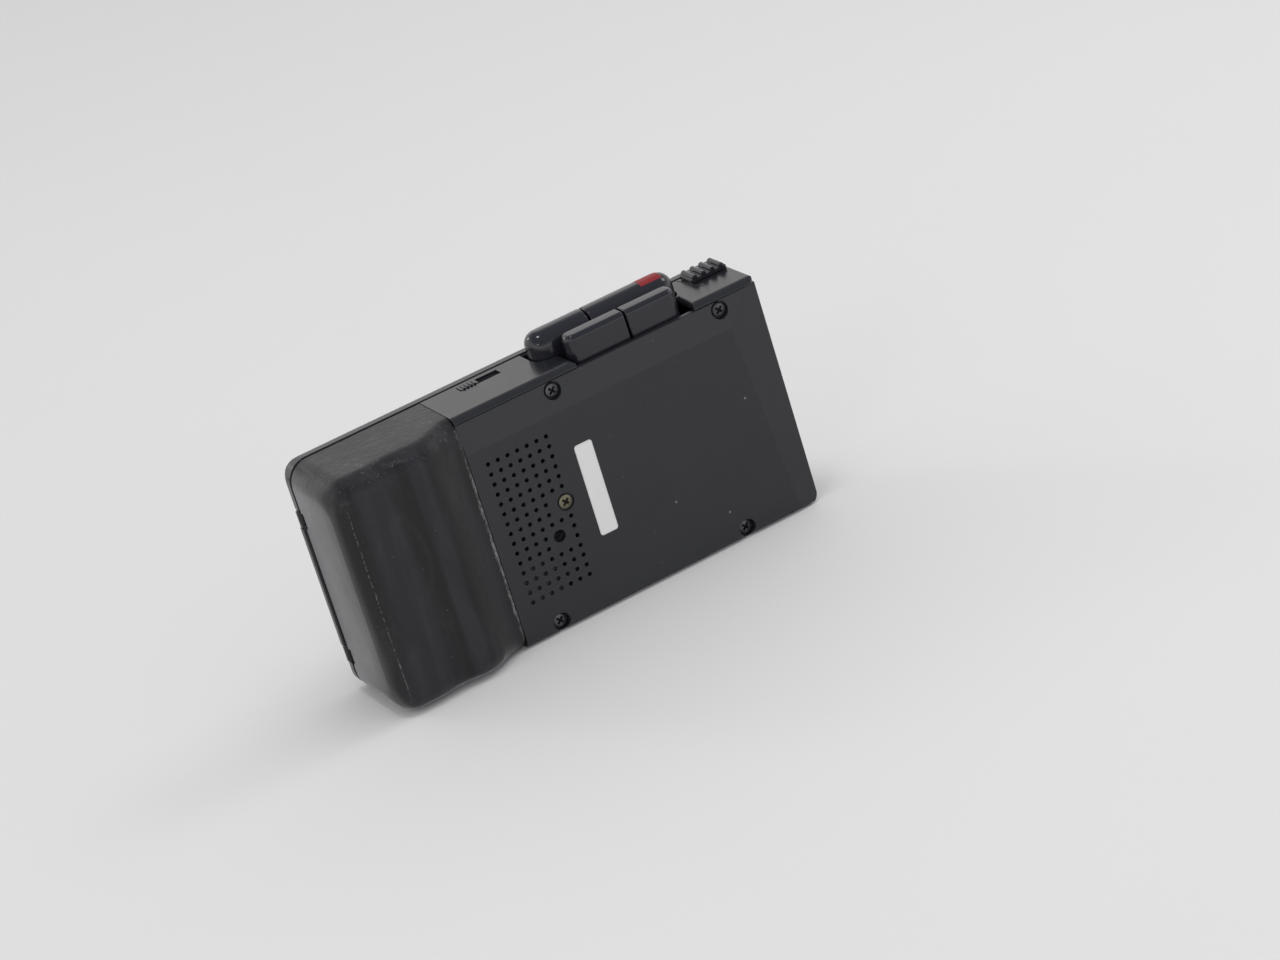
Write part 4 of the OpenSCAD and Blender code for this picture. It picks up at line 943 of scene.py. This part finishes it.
@dataclass
class BatteryEnd:
    """Battery cover with its hinge arms, and the bay below it."""

    x_end: float = -62.5
    x_seam: float = -24.9
    y_crest: float = -15.0
    y_rim: float = 10.3
    height: float = 63.5
    wall: float = 1.5
    edge_r: float = 5.6
    end_r: float = 5.2
    corner_r: float = 6.0
    cells: Point2 = (-51.8, -37.1)
    cell_y: float = -6.0
    cell_pitch: float = 14.7
    flute: float = 0.8
    bulge: float = 5.2
    hinge: Point2 = (-61.7, 12.7)
    arms: Point2 = (10.75, 48.75)
    arm_w: float = 4.2
    knuckle_r: float = 1.2
    knuckle_round: float = 0.15
    pin_r: float = 0.66
    notch_y: Point2 = (-1.2, 2.0)
    tongue_foot: float = 1.8
    arm_gap: float = 0.45
    strip_proud: float = 0.55
    strip_half: Point2 = (1.2, 1.15)
    strip_slant: float = 0.25
    coil_z: Point2 = (3.8, 8.2)
    coil_r: Point2 = (4.0, 2.2)
    coil_turns: float = 5.4
    coil_wire: float = 0.3
    tray_gap: float = 0.15
    mark_half: Point2 = (2.2, 0.45)
    mark_z: Point2 = (13.0, 50.0)
    mark_proud: float = 0.28

    def back(self, x: float) -> float:
        """Back of the cover at a place along it: two crests, then a slope to the seam."""
        if x < self.cells[0]:
            return self.y_crest
        if x < self.cells[1]:
            turn = math.tau * (x - self.cells[0]) / self.cell_pitch
            return self.y_crest + self.flute * (1 - math.cos(turn)) / 2
        share = min(1.0, (x - self.cells[1]) / (self.x_seam - self.cells[1]))
        return self.y_crest + self.bulge * (1 - math.cos(math.pi * share)) / 2

    def section(self, x: float) -> list[Vector]:
        """Cross-section of the cover at a place along it, from its lower rim round to its upper rim."""
        in_z = round_in(self.corner_r, x - self.x_end)
        back = self.back(x) + round_in(self.end_r, x - self.x_end)
        r = self.edge_r
        low, high = in_z, self.height - in_z
        points = [(y, low) for y in spread(self.y_rim, back + r, 8)]
        points += arc((back + r, low + r), r, 270, 180, 14)[1:]
        points += [(back, z) for z in spread(low + r, high - r, 18)[1:]]
        points += arc((back + r, high - r), r, 180, 90, 14)[1:]
        points += [(y, high) for y in spread(back + r, self.y_rim, 8)[1:]]
        return [Vector((x, y, z)) for y, z in points]

    def cover(self) -> None:
        """Builds the cover as one lofted shell, with its two hinge arms."""
        tips = tip_stations(self.end_r, 12) + tip_stations(self.corner_r, 14)
        stations = sorted({round(self.x_end + s, 4) for s in tips})
        stations += spread(self.x_end + self.corner_r, self.x_seam, 72)[1:]
        shell = Draft("battery_cover_shell")
        rings = [self.section(x) for x in stations]
        shell.skin(rings, closed=False, caps=False)
        shell.bm.verts.ensure_lookup_table()
        shell.bm.faces.new([shell.bm.verts[k] for k in range(len(rings[0]))])
        shell.thicken(self.wall)
        half = self.arm_w / 2
        notch = Draft("arm_notches")
        near, far = (self.y_rim + part for part in self.notch_y)
        for z in self.arms:
            outline = [(near, z - half), (far, z - half), (far, z + half), (near, z + half)]
            notch.prism(outline, self.x_end - 1.0, self.x_end + self.wall / 2, Axis.X)
        shell.combine(notch)
        for z in self.arms:
            self.arm(shell, z)
        made = shell.piece(COVER_BLACK, "battery_door", 0.12, 50.0)
        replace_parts(made, "battery_cover")

    def arm(self, shell: Draft, z: float) -> None:
        """Adds one hinge arm: a tongue behind the notch and a knuckle round the pin."""
        half = self.arm_w / 2
        x0 = self.x_end + self.wall / 2
        x1 = self.x_end + self.wall
        foot, tip = self.y_rim - self.tongue_foot, self.hinge[1]
        tongue = [(x0, foot), (x1, foot), (x1, tip), (x0, tip)]
        shell.prism(tongue, z - half, z + half, Axis.Z)
        outer, inner, rim = self.knuckle_r, self.pin_r, self.knuckle_round
        low, high = z - half, z + half
        profile = [(inner, low), (outer - rim, low), (outer, low + rim), (outer, high - rim),
                   (outer - rim, high), (inner, high), (inner, low)]
        shell.turned(profile, self.hinge, Axis.Z, 32)

    def strip(self) -> None:
        """Adds the flat strip that stands proud of the end between the two hinge slots."""
        proud, y = self.x_end - self.strip_proud, self.hinge[1]
        foot, face = self.strip_half
        outline = [(self.x_end, y - foot), (proud, y - face),
                   (proud + self.strip_slant, y + face), (self.x_end, y + foot)]
        gap = self.arm_w / 2 + self.arm_gap
        draft = Draft("hinge_strip")
        draft.prism(outline, self.arms[0] + gap, self.arms[1] - gap, Axis.Z)
        # The strip's paler plastic paints on the light that it catches.
        draft.piece(LIT_STRIP_PLASTIC, "case", 0.1)

    def springs(self) -> None:
        """Builds the two conical contact springs."""
        draft = Draft("contact_springs")
        for x in self.cells:
            draft.tube(helix((x, self.cell_y), *self.coil_z, self.coil_r, self.coil_turns), self.coil_wire)
        made = draft.piece(STEEL, "case")
        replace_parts(made, "battery_springs")

    def polarity(self) -> None:
        """Adds the raised plus and minus marks on the floor of the bay."""
        floor_y = self.cell_y + self.cell_pitch / 2 + self.tray_gap
        long, short = self.mark_half
        arm = [(short, short), (short, long), (-short, long)]
        plus = [corner for turns in range(4) for corner in self.quarter_turned(arm, turns)]
        minus = [(-long, -short), (long, -short), (long, short), (-long, short)]
        draft = Draft("polarity_marks")
        for x in self.cells:
            for outline, z in ((plus, self.mark_z[1]), (minus, self.mark_z[0])):
                shifted = [(x + across, z + up) for across, up in outline]
                draft.prism(shifted, floor_y - self.mark_proud, floor_y + self.mark_proud, Axis.Y)
        draft.piece(TRAY_GREY, "case", 0.05)

    @staticmethod
    def quarter_turned(points: Sequence[Point2], turns: int) -> list[Point2]:
        """Points after some quarter turns round the origin."""
        turned = list(points)
        for _ in range(turns):
            turned = [(-second, first) for first, second in turned]
        return turned

    def build(self) -> None:
        """Builds and dresses the battery end."""
        self.cover()
        self.strip()
        self.springs()
        self.polarity()
        dress_all((
            ("battery_tray", TRAY_GREY, 0.2), ("battery_plates", STEEL, 0.1),
            ("battery_hinge_pin", STEEL, 0.0),
        ))


class Row(Enum):
    """Rows of keys: Y range, height of the top, radii of the two top edges, Y of the stem, how far the
    rounded ends drop for each millimetre of their radius, and lean of the back."""

    FRONT = ((0.6, 9.6), 69.9, (4.2, 4.2), 1.6, 0.8, 0.0)
    BACK = ((-6.2, -0.2), 68.7, (1.4, 1.4), -3.2, 0.6, 0.5)


@dataclass
class Key:
    """One key: a bar with rounded ends on a stem, and its return spring."""

    name: str
    row: Row
    span: Point2
    ends: Point2
    skirt_z: float = 59.9
    stem_z: float = 51.9
    guide_z: float = 54.3
    stem_r: float = 1.1
    travel: float = 3.0
    crown_flat: float = 0.02
    coil_r: float = 1.54
    coil_turns: float = 6.0
    coil_wire: float = 0.2

    def section(self, x: float, inset: float = 0.0) -> list[Vector]:
        """Cross-section of the key at a place along it, moved inwards by an inset."""
        (y0, y1), top, (r_back, r_front), _, drop, lean = self.row.value
        start, end = x - self.span[0], self.span[1] - x
        in_y = round_in(self.ends[0], start) + round_in(self.ends[1], end) + inset
        in_z = round_in(self.ends[0] * drop, start) + round_in(self.ends[1] * drop, end) + inset
        low_y, high_y, top_z = y0 + in_y, y1 - in_y, top - in_z
        reach = (high_y - low_y - lean) / 2 - self.crown_flat
        rb, rf = min(r_back - inset, reach), min(r_front - inset, reach)
        points = [(high_y, self.skirt_z), (high_y, (self.skirt_z + top_z - rf) / 2)]
        points += arc((high_y - rf, top_z - rf), rf, 0, 90, 14)
        points += arc((low_y + lean + rb, top_z - rb), rb, 90, 180, 14)
        points += [(low_y + lean / 2, (self.skirt_z + top_z - rb) / 2), (low_y, self.skirt_z)]
        return [Vector((x, y, z)) for y, z in points]

    def stations(self) -> list[float]:
        """Places along the key, closer together at its rounded ends."""
        first = [self.span[0] + s for s in tip_stations(self.ends[0], 12)]
        last = [self.span[1] - s for s in tip_stations(self.ends[1], 12)]
        middle = spread(first[-1], last[-1], 10)[1:-1]
        return first + middle + last[::-1]

    def build(self) -> None:
        """Builds the key, its stem and its spring."""
        draft = Draft(self.name + "_cap")
        draft.skin([self.section(x) for x in self.stations()])
        centre = ((self.span[0] + self.span[1]) / 2, self.row.value[3])
        stem = [(0.0, self.stem_z), (self.stem_r - 0.3, self.stem_z), (self.stem_r, self.stem_z + 0.3),
                (self.stem_r, self.skirt_z + 0.2), (0.0, self.skirt_z + 0.2)]
        draft.turned(stem, centre, Axis.Z, 28)
        made = draft.piece(KEY_BLACK, self.name, 0.15, 50.0)
        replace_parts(made, self.name)
        self.spring(centre)

    def spring(self, centre: Point2) -> None:
        """Builds the return spring."""
        wire = self.coil_wire
        low, high = self.guide_z + wire, self.skirt_z - wire
        draft = Draft(self.name + "_coil")
        draft.tube(helix(centre, low, high, (self.coil_r, self.coil_r), self.coil_turns), wire, 8)
        made = draft.piece(STEEL, "case")
        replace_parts(made, self.name + "_spring")
        anchor = (centre[0] * MM, centre[1] * MM, self.guide_z * MM)
        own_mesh(made)


@dataclass
class KeyBank:
    """The four keys, the red mark on the play key and the guide of the stems."""

    keys: list[Key] = field(default_factory=lambda: [
        Key("stop_key", Row.FRONT, (4.3, 20.8), (4.0, 0.5)),
        Key("play_key", Row.FRONT, (21.3, 46.0), (0.5, 4.0)),
        Key("rewind_key", Row.BACK, (10.6, 27.1), (2.6, 0.5)),
        Key("forward_key", Row.BACK, (27.6, 42.2), (0.5, 2.4)),
    ])
    mark_x: Point2 = (37.15, 43.25)
    mark_y: Point2 = (2.65, 7.65)
    crown_z: float = 66.0
    proud: float = 0.03
    mark_t: float = 0.4

    def mark(self) -> None:
        """Lays the red mark as a thin inlay that follows the crown of the play key."""
        key = self.keys[1]
        draft = Draft("record_mark_inlay")
        rings = []
        for x in spread(*self.mark_x, 14):
            outer = [p for p in key.section(x, -self.proud) if p.z > self.crown_z]
            inner = [p for p in key.section(x, self.mark_t) if p.z > self.crown_z]
            rings.append(self.clipped(outer, x) + self.clipped(inner, x)[::-1])
        draft.skin(rings)
        made = draft.piece(RECORD_RED, "play_key", 0.06, 50.0)
        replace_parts(made, "record_mark")

    def clipped(self, section: list[Vector], x: float) -> list[Vector]:
        """Points of a section's crown at even places across the mark."""
        ordered = sorted(section, key=lambda p: p.y)
        points = []
        for y in spread(*self.mark_y, 16):
            after = next((k for k, p in enumerate(ordered) if p.y >= y), len(ordered) - 1)
            a, b = ordered[max(after - 1, 0)], ordered[after]
            share = 0.0 if b.y == a.y else (y - a.y) / (b.y - a.y)
            points.append(Vector((x, y, a.z + (b.z - a.z) * share)))
        return points

    def build(self) -> None:
        """Builds and dresses the keys."""
        for key in self.keys:
            key.build()
        self.mark()
        dress("key_guide", PALE_PLASTIC, 0.1)


@dataclass
class Screw:
    """Cross-head screw along Y, whose head faces the back or, with facing -1, the front.

    The dome, the rim and the wings of the recess are given in parts of the head's own radius and height.
    """

    at: Point2
    seat_y: float
    facing: int = 1
    head_r: float = 1.9
    head_h: float = 1.0
    length: float = 5.0
    shank_r: float = 0.95
    pitch: float = 0.5
    thread_from: float = 0.2
    plain_length: float = 0.6
    root: float = 0.8
    tip: float = 0.7
    dome: float = 0.28
    rim: tuple[Point2, ...] = ((0.95, 0.36), (1.0, 0.52))
    wing_reach: float = 0.70
    wing_half: float = 0.17
    wing_depth: float = 0.8
    wing_taper: Point2 = (1.06, 0.55)
    wing_over: float = 0.3

    def add(self, draft: Draft) -> None:
        """Adds the screw to a draft: a domed head with a tapered cross recess, and a threaded shank."""
        one = Draft("screw")
        top = -self.head_h
        dome = [(0.0, top)]
        for share in (0.2, 0.4, 0.6, 0.8):
            dome.append((self.head_r * share, top + self.dome * self.head_h * share ** 2))
        rim = [(self.head_r * across, top + down * self.head_h) for across, down in self.rim]
        foot = [(self.head_r, 0.0), (self.shank_r, 0.0)]
        thread = []
        for k in range(int((self.length - self.plain_length) / self.pitch)):
            y = self.thread_from + self.pitch * k
            thread += [(self.shank_r * self.root, y), (self.shank_r, y + self.pitch * 0.5)]
        end = [(self.shank_r * self.tip, self.length), (0.0, self.length)]
        profile = dome + rim + foot + thread + end
        one.turned([(r, self.seat_y + self.facing * y) for r, y in profile], self.at, Axis.Y, 36)
        one.combine(self.recess(top))
        mesh = bpy.data.meshes.new("screw")
        one.bm.to_mesh(mesh)
        draft.bm.from_mesh(mesh)
        bpy.data.meshes.remove(mesh)

    def recess(self, top: float) -> Draft:
        """Two crossed wings that taper to the recess's floor."""
        tool = Draft("recess")
        reach, half = self.head_r * self.wing_reach, self.head_r * self.wing_half
        heights = (top - self.wing_over, top + self.head_h * self.wing_depth)
        for angle in (45.0, 135.0):
            turn = Matrix.Rotation(math.radians(angle), 2)
            rings = []
            for y, share in zip(heights, self.wing_taper):
                far = reach * share
                corners = [(-far, -half), (far, -half), (far, half), (-far, half)]
                turned = [turn @ Vector(corner) for corner in corners]
                depth = self.seat_y + self.facing * y
                rings.append([Vector((self.at[0] + v.x, depth, self.at[1] + v.y)) for v in turned])
            wing = Draft("wing")
            wing.skin(rings)
            if tool.bm.verts:
                tool.combine(wing, "UNION")
            else:
                tool.bm = wing.bm
        return tool


@dataclass
class Housing:
    """Case shells, label, end panel and screws."""

    case_screws: tuple[Point2, ...] = ((2.1, 59.2), (50.8, 59.2), (-14.2, 2.7), (40.9, 2.7))
    mechanism_screw: Point2 = (-3.75, 31.5)
    chassis_screws: tuple[Point2, ...] = ((-9.0, 49.5), (50.3, 50.0), (-9.0, 8.0), (50.3, 8.0))
    y_back: float = -9.5
    deck_y: float = 3.3

    def screws(self) -> None:
        """Builds the screws, finer than their CAD nodes."""
        black = Draft("case_screw_set")
        for at in self.case_screws:
            Screw(at, self.y_back + 2.3).add(black)
        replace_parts(black.piece(SCREW_BLACK, "case"), "case_screws")
        brass = Draft("mechanism_screw_head")
        Screw(self.mechanism_screw, self.y_back + 0.7, head_h=0.7, length=6.0).add(brass)
        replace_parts(brass.piece(SCREW_BRASS, "case"), "mechanism_screw")
        deck = Draft("chassis_screw_set")
        for at in self.chassis_screws:
            Screw(at, self.deck_y, head_r=1.6).add(deck)
        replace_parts(deck.piece(ZINC, "case"), "chassis_screws")

    def build(self) -> None:
        """Builds and dresses the housing."""
        dress_all((
            ("rear_cover", PANEL_BLACK, 0.12), ("side_frame", CASE_BLACK, 0.1),
            ("front_shell", CASE_BLACK, 0.2), ("end_panel", CASE_BLACK, 0.12),
            ("back_label", LABEL_PAPER, 0.03),
        ))
        self.screws()


@dataclass
class Controls:
    """Sliders, dial, jacks, lamp and microphone."""

    x_end: float = 62.5
    jack_y: float = -0.9
    jacks: Point2 = (45.5, 53.5)
    bore_r: float = 1.8
    ring_r: float = 2.5
    ring_proud: float = 0.18
    ring_gap: float = 0.04
    ring_depth: float = 0.8
    ring_sheet: float = 0.2
    ring_rounds: Point2 = (0.15, 0.12)

    def rings(self) -> None:
        """Adds the pressed metal ring round the mouth of each jack."""
        draft = Draft("jack_rings")
        out, mouth, rim = self.x_end + self.ring_proud, self.bore_r + self.ring_gap, self.ring_r
        end, deep, sleeve = self.x_end, self.x_end - self.ring_depth, mouth + self.ring_sheet
        inner, outer = self.ring_rounds
        for z in self.jacks:
            profile = [(mouth, deep), (mouth, out - inner), (mouth + inner, out), (rim - outer, out),
                       (rim, out - outer), (rim, end), (sleeve, end), (sleeve, deep), (mouth, deep)]
            draft.turned(profile, (self.jack_y, z), Axis.X, 40)
        draft.piece(CHROME, "case")

    def build(self) -> None:
        """Dresses the controls."""
        self.rings()
        dress_all((
            ("pause_slider", KEY_BLACK, 0.22), ("speed_slider", KEY_BLACK, 0.1), ("pause_switch", ZINC, 0.1),
            ("speed_switch", ZINC, 0.1), ("volume_dial", KEY_BLACK, 0.1), ("volume_pot", ZINC, 0.1),
            ("ear_jack", PLAIN_BLACK, 0.1), ("mic_jack", PLAIN_BLACK, 0.1), ("record_lamp", LENS, 0.25),
            ("microphone", STEEL, 0.1), ("mic_boot", RUBBER, 0.1),
        ))


@dataclass
class Deck:
    """Cassette lid, tape deck and drive.

    Each profile is made of pairs of a radius and a distance from the face that the small part stands on.
    """

    deck_top: float = 4.3
    plate_top: float = 5.2
    guides: tuple[Point2, ...] = ((8.0, 48.2), (30.0, 48.2))
    head_screws: tuple[Point2, ...] = ((17.5, 51.4), (27.4, 51.4))
    roller: Point2 = (36.0, 45.8)
    roller_top: float = 10.6
    leaf_x: Point2 = (-0.2, 45.2)
    leaf_z: Point2 = (15.0, 37.0)
    lid_y: float = 13.4
    guide_foot: float = 0.4
    guide_gap: float = 0.06
    guide_profile: tuple[Point2, ...] = (
        (0.72, 0.0), (1.3, 0.0), (1.4, 0.08), (1.4, 0.22), (1.25, 0.3), (0.75, 0.3), (0.7, 0.7), (0.55, 0.85),
        (0.0, 0.85)
    )
    clip_profile: tuple[Point2, ...] = (
        (0.62, 0.06), (1.5, 0.06), (1.6, 0.12), (1.6, 0.28), (1.45, 0.36), (0.62, 0.36), (0.62, 0.06)
    )
    rivet_profile: tuple[Point2, ...] = ((0.0, 0.55), (0.5, 0.5), (0.75, 0.3), (0.8, 0.0), (0.0, 0.0))
    rivet_up: float = 1.2
    leaf_half: float = 1.6
    leaf_sheet: float = 0.2
    leaf_bow: float = 1.3
    leaf_end: float = 0.9
    leaf_curve: float = 1.4
    taper_from: float = 0.8
    taper: float = 1.4

    def guide_pins(self) -> None:
        """Adds the two flanged pins that guide the head plate by its slots."""
        draft = Draft("head_plate_guides")
        for at in self.guides:
            foot, face = self.deck_top - self.guide_foot, self.plate_top + self.guide_gap
            profile = [(0.0, foot), (self.guide_profile[0][0], foot)]
            profile += [(radius, face + up) for radius, up in self.guide_profile]
            draft.turned(profile, at, Axis.Y, 40)
        draft.piece(STEEL, "case")

    def head_fixings(self) -> None:
        """Adds the screws beside the record head and the clip that keeps the pinch roller on its pin."""
        screws = Draft("record_head_screws")
        for at in self.head_screws:
            Screw(at, self.plate_top, -1, 1.15, 0.8, 0.7, 0.6).add(screws)
        screws.piece(BRASS, "head_slide")
        clip = Draft("pinch_roller_clip")
        profile = [(radius, self.roller_top + up) for radius, up in self.clip_profile]
        clip.turned(profile, self.roller, Axis.Y, 40)
        clip.piece(STEEL, "head_slide")

    def leaf_springs(self) -> None:
        """Adds the two bent strips inside the lid that press the cassette on its spindles."""
        draft = Draft("lid_leaf_springs")
        low, high = self.leaf_z
        sheet = self.leaf_sheet
        rivet = [(radius, self.lid_y - up) for radius, up in self.rivet_profile]
        for x in self.leaf_x:
            rings = []
            for z in spread(low, high, 28):
                share = (z - low) / (high - low)
                lift = math.sin(math.pi * min(1.0, share / self.leaf_end)) ** self.leaf_curve
                y = self.lid_y - sheet - self.leaf_bow * lift
                width = self.leaf_half * (1.0 - self.taper * max(0.0, share - self.taper_from))
                rings.append([Vector((x - width, y, z)), Vector((x + width, y, z)),
                              Vector((x + width, y + sheet, z)), Vector((x - width, y + sheet, z))])
            draft.skin(rings)
            draft.turned(rivet, (x, low + self.rivet_up), Axis.Y, 24)
        draft.piece(STEEL, "cassette_door", sharp=30.0)

    def build(self) -> None:
        """Builds the small fixings and dresses the lid and the mechanism."""
        self.guide_pins()
        self.head_fixings()
        self.leaf_springs()
        dress_all((
            ("cassette_lid", CASE_BLACK, 0.2), ("lid_window", SMOKED, 0.15), ("lid_hinge_pins", STEEL, 0.0),
            ("chassis_plate", ZINC, 0.1), ("mechanism_bracket", ZINC, 0.1), ("head_plate", ZINC, 0.1),
            ("pinch_arm", ZINC, 0.1), ("motor", STEEL, 0.1), ("capstan", STEEL, 0.0),
            ("flywheel", STEEL, 0.1),
            ("motor_pulley", BRASS, 0.08), ("capstan_bush", BRASS, 0.08), ("drive_belt", RUBBER, 0.12),
            ("idler_wheel", RUBBER, 0.12), ("pinch_roller", RUBBER, 0.12),
            ("takeup_spindle", PALE_PLASTIC, 0.12), ("supply_spindle", PALE_PLASTIC, 0.12),
            ("record_head", CHROME, 0.15), ("erase_head", PLAIN_BLACK, 0.15),
        ))


@dataclass
class Electronics:
    """Circuit board, its parts and the speaker."""

    def build(self) -> None:
        """Dresses the electronics."""
        dress_all((
            ("circuit_board", BOARD, 0.0), ("board_parts", PLAIN_BLACK, 0.08),
            ("speed_trimmer", PLAIN_BLACK, 0.08), ("speaker", STEEL, 0.1), ("speaker_felt", FELT, 0.0),
        ))


@dataclass(frozen=True)
class SoftBox:
    """Square soft light that looks at the machine."""

    name: str
    at: Point3
    size: float
    power: float
    mirrored: bool = True

    def build(self, target: Vector) -> None:
        """Adds the light, seen in reflections only if it is mirrored."""
        lamp = bpy.data.lights.new(self.name, "AREA")
        lamp.shape = "SQUARE"
        lamp.size = self.size
        lamp.energy = self.power
        made = bpy.data.objects.new(self.name, lamp)
        made.location = self.at
        made.visible_glossy = self.mirrored
        made.rotation_euler = (target - Vector(self.at)).to_track_quat("-Z", "Y").to_euler()
        bpy.context.scene.collection.objects.link(made)


@dataclass
class Studio:
    """Floor, lights, pale surround and the camera."""

    eye: Point3 = (-0.32678, -0.84924, 0.41844)
    right: Point3 = (0.839788, -0.469920, -0.271903)
    up: Point3 = (0.416966, 0.237512, 0.877341)
    forward: Point3 = (0.347700, 0.850155, -0.395400)
    lens: float = 112.5
    sensor: float = 36.0
    nearest: float = 0.01
    aim: Point3 = (0.0, 0.0, 0.03)
    floor_half: float = 4.0
    floor_drop: float = 0.1
    boxes: tuple[SoftBox, ...] = (
        SoftBox("soft_right", (1.00, -0.10, 0.95), 0.4, 1.75),
        SoftBox("soft_high", (0.30, -0.30, 1.30), 0.8, 3.5, False),
        SoftBox("lamp_above", (-0.13, -0.08, 1.30), 0.22, 1.6),
        SoftBox("lamp_behind", (-0.62, 0.98, 0.62), 0.22, 1.0),
        SoftBox("lamp_left", (-0.80, -0.79, 0.68), 0.16, 0.6),
    )
    tent_near: Colour = (1.40, 1.40, 1.45)
    tent_far: Colour = (1.06, 1.05, 1.05)
    tent_roof: Colour = (0.38, 0.39, 0.43)
    roof_from: Point2 = (0.27, 0.70)
    roof_lean: float = -0.25

    def camera(self) -> None:
        """Places the camera at the photograph's viewing angle."""
        data = bpy.data.cameras.new("camera")
        data.lens = self.lens
        data.sensor_width = self.sensor
        data.clip_start = self.nearest
        made = bpy.data.objects.new("camera", data)
        back = [-part for part in self.forward]
        turn = Matrix((self.right, self.up, back)).transposed().to_4x4()
        made.matrix_world = Matrix.Translation(self.eye) @ turn
        bpy.context.scene.collection.objects.link(made)
        bpy.context.scene.camera = made

    def floor(self) -> None:
        """Lays the floor under the machine."""
        draft = bmesh.new()
        bmesh.ops.create_grid(draft, x_segments=8, y_segments=8, size=self.floor_half)
        mesh = bpy.data.meshes.new("floor")
        draft.to_mesh(mesh)
        draft.free()
        mesh.materials.append(FLOOR.material())
        made = bpy.data.objects.new("floor", mesh)
        made.location.z = -self.floor_drop * MM
        bpy.context.scene.collection.objects.link(made)

    def surround(self) -> None:
        """Sets the pale walls of a light tent and its dimmer roof, which is lower on the camera's side."""
        world = bpy.data.worlds.new("light_tent")
        world.use_nodes = True
        tent = Tree(world.node_tree)
        way = tent.node("ShaderNodeTexCoord", out="Generated")
        depth = tent.node("ShaderNodeSeparateXYZ", sockets={0: way}, out="Y")
        height = depth.beside("Z") + depth * self.roof_lean
        walls = tent.mix(tent.step(depth, -1.0, 1.0), self.tent_near, self.tent_far)
        colour = tent.mix(tent.step(height, *self.roof_from), walls, self.tent_roof)
        tent.close("ShaderNodeOutputWorld", tent.node("ShaderNodeBackground", {}, {"Color": colour}))
        bpy.context.scene.world = world

    def build(self) -> None:
        """Builds the studio."""
        self.camera()
        self.floor()
        self.surround()
        for box in self.boxes:
            box.build(Vector(self.aim))
        bpy.context.scene.view_settings.view_transform = "Standard"


def plain(box: Sequence[Sequence[float]]) -> list[list[float]]:
    """Corners of a box as plain lists of numbers."""
    return [[float(value) for value in corner] for corner in box]


def main() -> None:
    """Builds the machine's looks in order, then the studio."""
    logging.basicConfig(level=logging.INFO, format="%(name)s: %(message)s")
    for assembly in (Housing(), BatteryEnd(), KeyBank(), Controls(), Deck(), Electronics(), Studio()):
        LOG.info("assembly %s", type(assembly).__name__)
        assembly.build()


if __name__ == "__main__":
    main()
